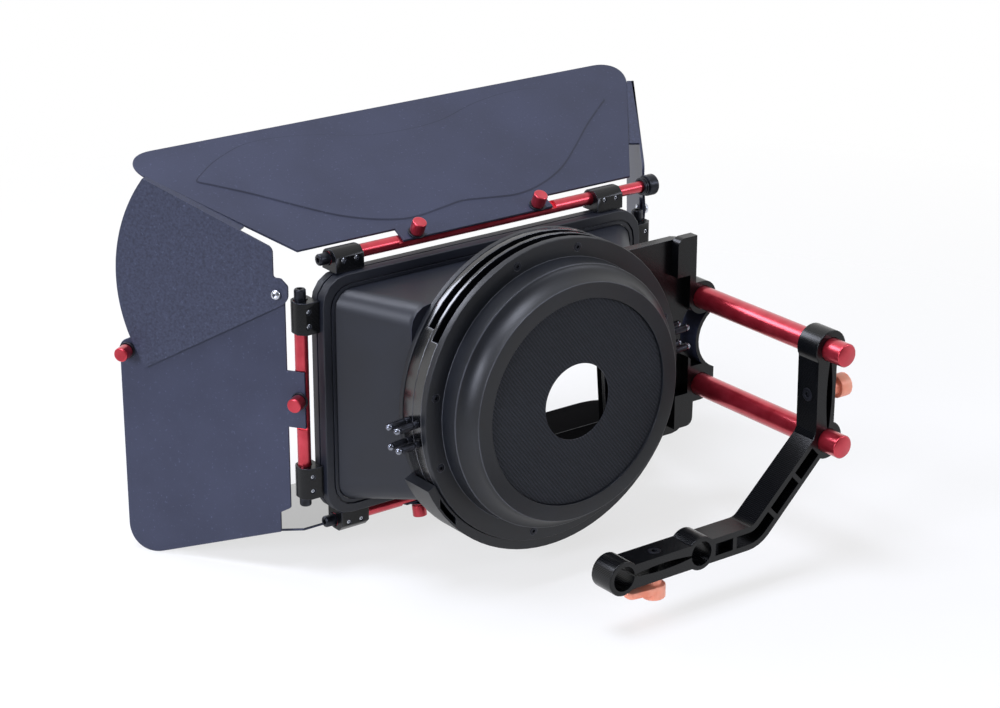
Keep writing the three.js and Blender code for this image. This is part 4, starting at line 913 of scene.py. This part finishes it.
# %% Outline of the pressed panel
PRESS_HALF = [(0, 89.6), (-18, 90.2), (-36, 93.2), (-60, 100.4), (-86, 104.6), (-112, 104.6), (-137, 96),
              (-153, 86.5), (-159.5, 80.5), (-151.7, 74.5), (-130.5, 60), (-108, 42.5), (-86, 27), (-63, 17),
              (-41, 12.8), (-16, 15.6), (0, 17.6)]
mirrored = [(-x, y) for x, y in reversed(PRESS_HALF[1:-1])]
through = [Vector(point) for point in PRESS_HALF + mirrored]
CURVE_STEPS = 4
outline = []
for i, here in enumerate(through):
    before, after, beyond = through[i - 1], through[(i + 1) % len(through)], through[(i + 2) % len(through)]
    for step in range(CURVE_STEPS):
        t = step / CURVE_STEPS
        outline.append(0.5 * (2 * here + (after - before) * t
                              + (2 * before - 5 * here + 4 * after - beyond) * t ** 2
                              + (3 * here - before - 3 * after + beyond) * t ** 3))
print("outline points:", len(outline))

# %% Press the panel
PRESS_DEPTH, PRESS_HEIGHT, PRESS_SLOPE = 0.8, 0.7, 1.0
SHEET_EDGE = 0.3
press = sheet("press", [tuple(point) for point in outline], SHEET_OUTER - PRESS_DEPTH, SHEET_OUTER)
select_only(press, "polygons", [face.index for face in press.data.polygons if face.normal.z > 0.9])
bpy.ops.mesh.select_mode(type="FACE")
bpy.ops.mesh.inset(thickness=PRESS_SLOPE * MILLIMETRE, depth=PRESS_HEIGHT * MILLIMETRE)
bpy.ops.mesh.select_mode(type="VERT")
mode("OBJECT")
print("press:", len(press.data.polygons), "faces, height", size_of(press)[2], "mm")

# %% Finish the level flags
PRESS_REACH, BEND_LOW, BEND_HIGH = 165, 8, 70
break_edges(top_flag, SHEET_EDGE)
cut(top_flag, press, "UNION")
break_edges(bottom_flag, SHEET_EDGE)
hand_over(top_flag, "top_flag", powder_coat, hinge_frame(1, True))
hand_over(bottom_flag, "bottom_flag", powder_coat, hinge_frame(-1, True))
paint(bottom_flag, smooth_black, lambda face: face.normal.z > 0.5)
from_flag = hinge_frame(1, True).inverted()


def painted_shade_in_bend(face):
    inner = abs((from_flag @ face.center).x) < PRESS_REACH * MILLIMETRE
    return inner and BEND_LOW < math.degrees(face.normal.angle(top_normal)) < BEND_HIGH


# the panel's sloping wall gets a darker coat: painted shade
paint(top_flag, variant(powder_coat, "#1c1f2e", "#232739", "powder_coat_painted_shade_in_the_bend"), painted_shade_in_bend)

# %% [markdown]
# Through the donut the upper face of the bottom flag lies in deep shade up to its front edge, while its left
# corner is bright. So a thin black sheet is laid on it as painted shade, from left of the middle to the right
# edge.

# %% Black sheet as painted shade
SHADE_SHEET_THICKNESS = 0.4
shade_sheet = sheet("bottom_flag_painted_shade_sheet", [(-66, 8.5), (126, 8.5), (198, 113.6, 15), (-66, 113.6)],
              -SHEET_LOW, SHADE_SHEET_THICKNESS - SHEET_LOW)
# the black sheet is painted shade on the flag
add_part(shade_sheet, hinge_frame(-1, True), black_flock_and_shade, "bottom_flag")
print("liner:", size_of(shade_sheet), "mm")

# %% [markdown]
# A side flag has a tab too, a notch that clears the lower block, a deep round corner below, and a lobe for
# the thumbscrew that clamps its wing. The left and right flags are one drawing, given a thickness on one
# side of the sheet or the other.

# %% Side flags
side_outline = [
    (-3.2, -18.5), (8.5, -18.5), (8.5, -73, 1.5), (15.5, -77, 1.5), (15.5, -90.3, 0.6), (121.3, -123.3, 18),
    (121.5, 23.59, 6.5), (8.5, 77.82, 4), (8.5, 18.5), (-3.2, 18.5),
]
upright = Matrix(((0, 0, 1, 0), (1, 0, 0, 0), (0, 1, 0, 0), (0, 0, 0, 1)))
for end, side in SIDES:
    low, high = sorted((side * SHEET_LOW, side * SHEET_OUTER))
    flag = sheet(f"{end}_flag_sheet", side_outline, low, high)
    break_edges(flag, SHEET_EDGE)
    hand_over(flag, f"{end}_flag", powder_coat, hinge_frame(side, False) @ upright)

# %% [markdown]
# A wing is a fan that turns on the pivot. It is a disc of sheet, cut to the hub and the two straight sides
# with an intersection. Along its upper edge a lip is folded inward, which closes the slit beside the top
# flag; the lip narrows to the front, because the flag's edge comes nearer there. Their coat is more mottled
# than the flags', in spots of one or two millimetres.

# %% Mottled coat of the wings
wing_coat = variant(powder_coat, "#292d3d", "#3a3e52", "mottled_powder_coat")
fill(wing_coat.node_tree.nodes["Noise Texture"], {"Scale": 650, "Detail": 3})
print("made", wing_coat.name)

# %% Wings
PIVOT_REACH, PIVOT_RISE, WING_RADIUS = 13, 67.9, 107.5
WING_LOW, WING_HIGH = 4.4, 6.0
LIP_START, LIP_END, LIP_THICKNESS = 36.5, 99.2, 1.4
LIP_DEPTH_START, LIP_DEPTH_END = 8.6, 4.7
LIP_RISE, LIP_SLOPE = 90.9, 0.41515


def lip_height(reach):
    return LIP_RISE + LIP_SLOPE * reach


wing_outline = [
    (14.9, lip_height(14.9), 4.5), (14.9, 78.1, 1.8), (10, 78.1, 2.2), (5.5, 73.6, 2.2), (5.5, 63.48, 7.5),
    (150, -16.6), (150, lip_height(150)),
]
slope = math.atan(LIP_SLOPE)
stretch = Matrix.Diagonal((1 / math.cos(slope), 1, 1, 1))
onto_edge = shift(LIP_START, lip_height(LIP_START), 0) @ Matrix.Rotation(slope, 4, "Z")
lay = Matrix(((1, 0, 0, 0), (0, 0, 1, 0), (0, 1, 0, 0), (0, 0, 0, 1)))
for end, side in SIDES:
    low, high = sorted((side * WING_LOW, side * WING_HIGH))
    wing = sheet(f"{end}_wing_sheet", wing_outline, low, high)
    cut(wing, drum_at(192, WING_RADIUS, 30, shift(PIVOT_REACH, PIVOT_RISE, 0)), "INTERSECT")
    lip = sheet("lip", [
        (LIP_START, side * WING_HIGH), (LIP_END, side * WING_HIGH),
        (LIP_END, side * (WING_HIGH - LIP_DEPTH_END)), (LIP_START, side * (WING_HIGH - LIP_DEPTH_START)),
    ], -LIP_THICKNESS, 0)
    settle(lip, onto_edge @ lay @ stretch @ shift(-LIP_START, 0, 0))
    face_outward()
    cut(wing, lip, "UNION")
    break_edges(wing, SHEET_EDGE)
    hand_over(wing, f"{end}_wing", wing_coat, hinge_frame(side, False) @ upright)

# %% [markdown]
# Each wing turns on a steel button-head screw with a hexagon socket, which shows as a small bright disc
# with a dark hexagon, and a nut behind the flag.

# %% Wing pivots
for end, side in SIDES:
    pivot = lathe(f"wing_pivot_{end}_turned", [
        (0, 0.6), (2.6, 0.6), (2.8, 0.8), (2.8, 1.9), (2.6, 2.1), (1.5, 2.1), (1.5, 6.3), (3.35, 6.3),
        (3.35, 6.9), (3.1, 7.6), (2.6, 8.2), (1.9, 8.6), (0, 8.6),
    ], 32)
    cut_socket(pivot, 1.35, 2.6, 8.6)
    place = hinge_frame(side, False) @ shift(0, PIVOT_REACH, PIVOT_RISE) @ rotate(90 * side, "Y")
    hand_over(pivot, f"wing_pivot_{end}", bright_steel, place)

# %% [markdown]
# ## Hinge rods
# Each flag is clamped on the flat of a red rod that turns in its two blocks. Blackened cap screws with
# knurled heads hold its ends, save the right end of the top rod, which has the knob.

# %% Hinge rods
HINGE_ROD_RADIUS, ROD_STUB_RADIUS, FLAT_DEPTH = 4.25, 3.75, 2.1
SIDE_ROD_HALF, LEVEL_ROD_HALF, SIDE_FLAT_HALF, LEVEL_FLAT_HALF = 63.9, 110.9, 19.5, 61
KNOB_END = 139.7


def hinge_rod(node, half, flat_half, end, matrix):
    tip = [(HINGE_ROD_RADIUS, half - 0.3), (HINGE_ROD_RADIUS - 0.3, half)]
    if end > half:
        tip += [(ROD_STUB_RADIUS, half), (ROD_STUB_RADIUS, end - 0.4), (ROD_STUB_RADIUS - 0.4, end)]
    foot = [(0, -half), (HINGE_ROD_RADIUS - 0.3, -half), (HINGE_ROD_RADIUS, 0.3 - half)]
    rod = lathe(node + "_turned", [*foot, *tip, (0, end)], 40)
    cut(rod, block_at((10, 20, 2 * flat_half), shift(FLAT_DEPTH + 5, 0, 0)))
    hand_over(rod, node, red_anodised, matrix)


for end, side in SIDES:
    flat_out = hinge_frame(side, False) @ rotate(180 if side < 0 else 0, "Z")
    hinge_rod(f"hinge_rod_{end}", SIDE_ROD_HALF, SIDE_FLAT_HALF, SIDE_ROD_HALF, flat_out)
for level, side, far in (("top", 1, KNOB_END), ("bottom", -1, LEVEL_ROD_HALF)):
    along_x = rotate(90, "Y") @ rotate(180 if side > 0 else 0, "Z")
    hinge_rod(f"hinge_rod_{level}", LEVEL_ROD_HALF, LEVEL_FLAT_HALF, far, hinge_frame(side, True) @ along_x)

# %% Cap screws at the rod ends
CAP_RADIUS, CAP_LENGTH, CAP_SETOUT = 3.75, 6.6, 0.65
cap_rings = [(CAP_RADIUS, 0.8 + i * 4.8 / 8) for i in range(9)]
cap_profile = [(0, -0.6), (4.1, -0.6), (4.1, 0.3), (3.3, 0.4), (3.3, 0.5), (CAP_RADIUS - 0.1, 0.6),
               *cap_rings, (CAP_RADIUS - 0.1, 5.9), (CAP_RADIUS - 0.5, 6.5), (CAP_RADIUS - 0.9, CAP_LENGTH),
               (0, CAP_LENGTH)]
cap_ends = [(f"hinge_rod_{end}", level, hinge_frame(side, False), aside, SIDE_ROD_HALF)
            for end, side in SIDES for level, aside in (("upper", 0), ("lower", 180))]
cap_ends += [("hinge_rod_top", "left", hinge_frame(1, True), -90, LEVEL_ROD_HALF)]
cap_ends += [("hinge_rod_bottom", end, hinge_frame(-1, True), 90 * side, LEVEL_ROD_HALF)
             for end, side in SIDES]
for node, where, place, aside, distance in cap_ends:
    cap = lathe(f"{node}_cap_{where}", cap_profile, 36)
    knurl(cap, CAP_RADIUS, 0.75, 5.65, 0.22)
    cut_socket(cap, 1.9, 5, CAP_LENGTH)
    add_part(cap, place @ rotate(aside, "Y") @ shift(0, 0, distance + CAP_SETOUT), black_steel, node)
print("cap screws:", len(cap_ends))

# %% [markdown]
# ## Floor and light
# The photograph has a plain white studio. The floor is white near the object, where it takes a soft shadow,
# and fades out further away, so that no horizon shows. The world is white to the camera and in reflections,
# but lights the object as a dim soft box. Behind the camera the studio is dim, which shows only in
# reflections: it keeps the faces that look at the camera black. Four area lamps do the rest: a wide one
# above, one from the camera's left, a weak one from the right, and one beyond the object, which draws
# bright lines along rods and rims. The first helper says which rays see the white: those of the camera, and
# those that come by way of a mirror or glass.

# %% Rays that see the white


def seeing_rays(tree):
    rays = add(tree, "LightPath").outputs
    seen = rays["Is Camera Ray"]
    for kind in ("Is Glossy Ray", "Is Transmission Ray"):
        seen = add(tree, "Math", {"operation": "MAXIMUM"}, {0: seen, 1: rays[kind]}).outputs["Value"]
    return seen, rays["Is Glossy Ray"]


# %% Floor
FLOOR_SIZE, FLOOR_GAP, FLOOR_WHITE = 6, 0.0002, 0.7
low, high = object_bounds()
deselect()
bpy.ops.mesh.primitive_plane_add(size=FLOOR_SIZE, location=(0, 0.1, low.z - FLOOR_GAP))
floor = bpy.context.object
floor.name = "floor"
floor_finish, tree, shader, place = new_material("matt_white_floor")
fill(shader, {"Roughness": 0.9, "Specular IOR Level": 0.1, "Base Color": linear("#f4f4f4")})
reach = add(tree, "VectorMath", {"operation": "LENGTH"}, {0: place})
fade = add(tree, "MapRange", {"From Min": 0.35, "From Max": 1.0}, {"Value": reach.outputs["Value"]})
clear = add(tree, "BsdfTransparent")
share = add(tree, "Math", {"operation": "MULTIPLY", 1: FLOOR_WHITE}, {0: seeing_rays(tree)[0]})
white = add(tree, "Emission", {"Strength": 1.0})
pale = add(tree, "MixShader", {},
           {0: share.outputs["Value"], 1: shader.outputs["BSDF"], 2: white.outputs["Emission"]})
mixed = add(tree, "MixShader", {},
            {0: fade.outputs["Result"], 1: pale.outputs["Shader"], 2: clear.outputs["BSDF"]})
fill(tree.nodes["Material Output"], {}, {"Surface": mixed.outputs["Shader"]})
floor.data.materials.append(floor_finish)
print("floor at", round(floor.location.z / MILLIMETRE, 1), "mm")

# %% World
AMBIENT, DIM_SIDE, DIM_SHARE = 0.32, (-0.6, -0.8, 0), 0.18
world = bpy.data.worlds.new("white_studio")
bpy.context.scene.world = world
world.use_nodes = True
tree = world.node_tree
seen, glossy = seeing_rays(tree)
strength = add(tree, "MapRange", {"To Min": AMBIENT, "To Max": 1}, {"Value": seen})
towards = add(tree, "TexCoord").outputs["Generated"]
behind = add(tree, "VectorMath", {"operation": "DOT_PRODUCT", 1: DIM_SIDE}, {0: towards})
dim = add(tree, "MapRange", {"From Min": 0.0, "From Max": 0.6, "To Min": 1, "To Max": DIM_SHARE},
          {"Value": behind.outputs["Value"]})
glossy_dim = add(tree, "MapRange", {"To Min": 1}, {"Value": glossy, "To Max": dim.outputs["Result"]})
total = add(tree, "Math", {"operation": "MULTIPLY"},
            {0: strength.outputs["Result"], 1: glossy_dim.outputs["Result"]})
fill(tree.nodes["Background"], {"Color": linear("#ffffff")}, {"Strength": total.outputs["Value"]})
print("world ready")

# %% Lamps
LAMP_COLOUR = "#e9eeff"
LAMP_TARGET = Vector((0, 0.12, 0.08))


def lamp(name, place, size, power):
    deselect()
    bpy.ops.object.light_add(type="AREA", location=place)
    light = bpy.context.object
    light.name = name
    light.data.shape = "SQUARE"
    light.data.size = size
    light.data.energy = power
    light.data.color = linear(LAMP_COLOUR)[:3]
    light.rotation_euler = (LAMP_TARGET - Vector(place)).to_track_quat("-Z", "Y").to_euler()


lamp("above", (-0.5, 0.15, 1.7), 0.7, 21)
lamp("camera_left", (-1.7, -0.2, 0.7), 0.6, 21)
lamp("right", (1.2, -1.3, 0.9), 0.5, 8)
lamp("rim", (-0.7, 1.5, 1.2), 0.7, 15)
print("lamps: 4")
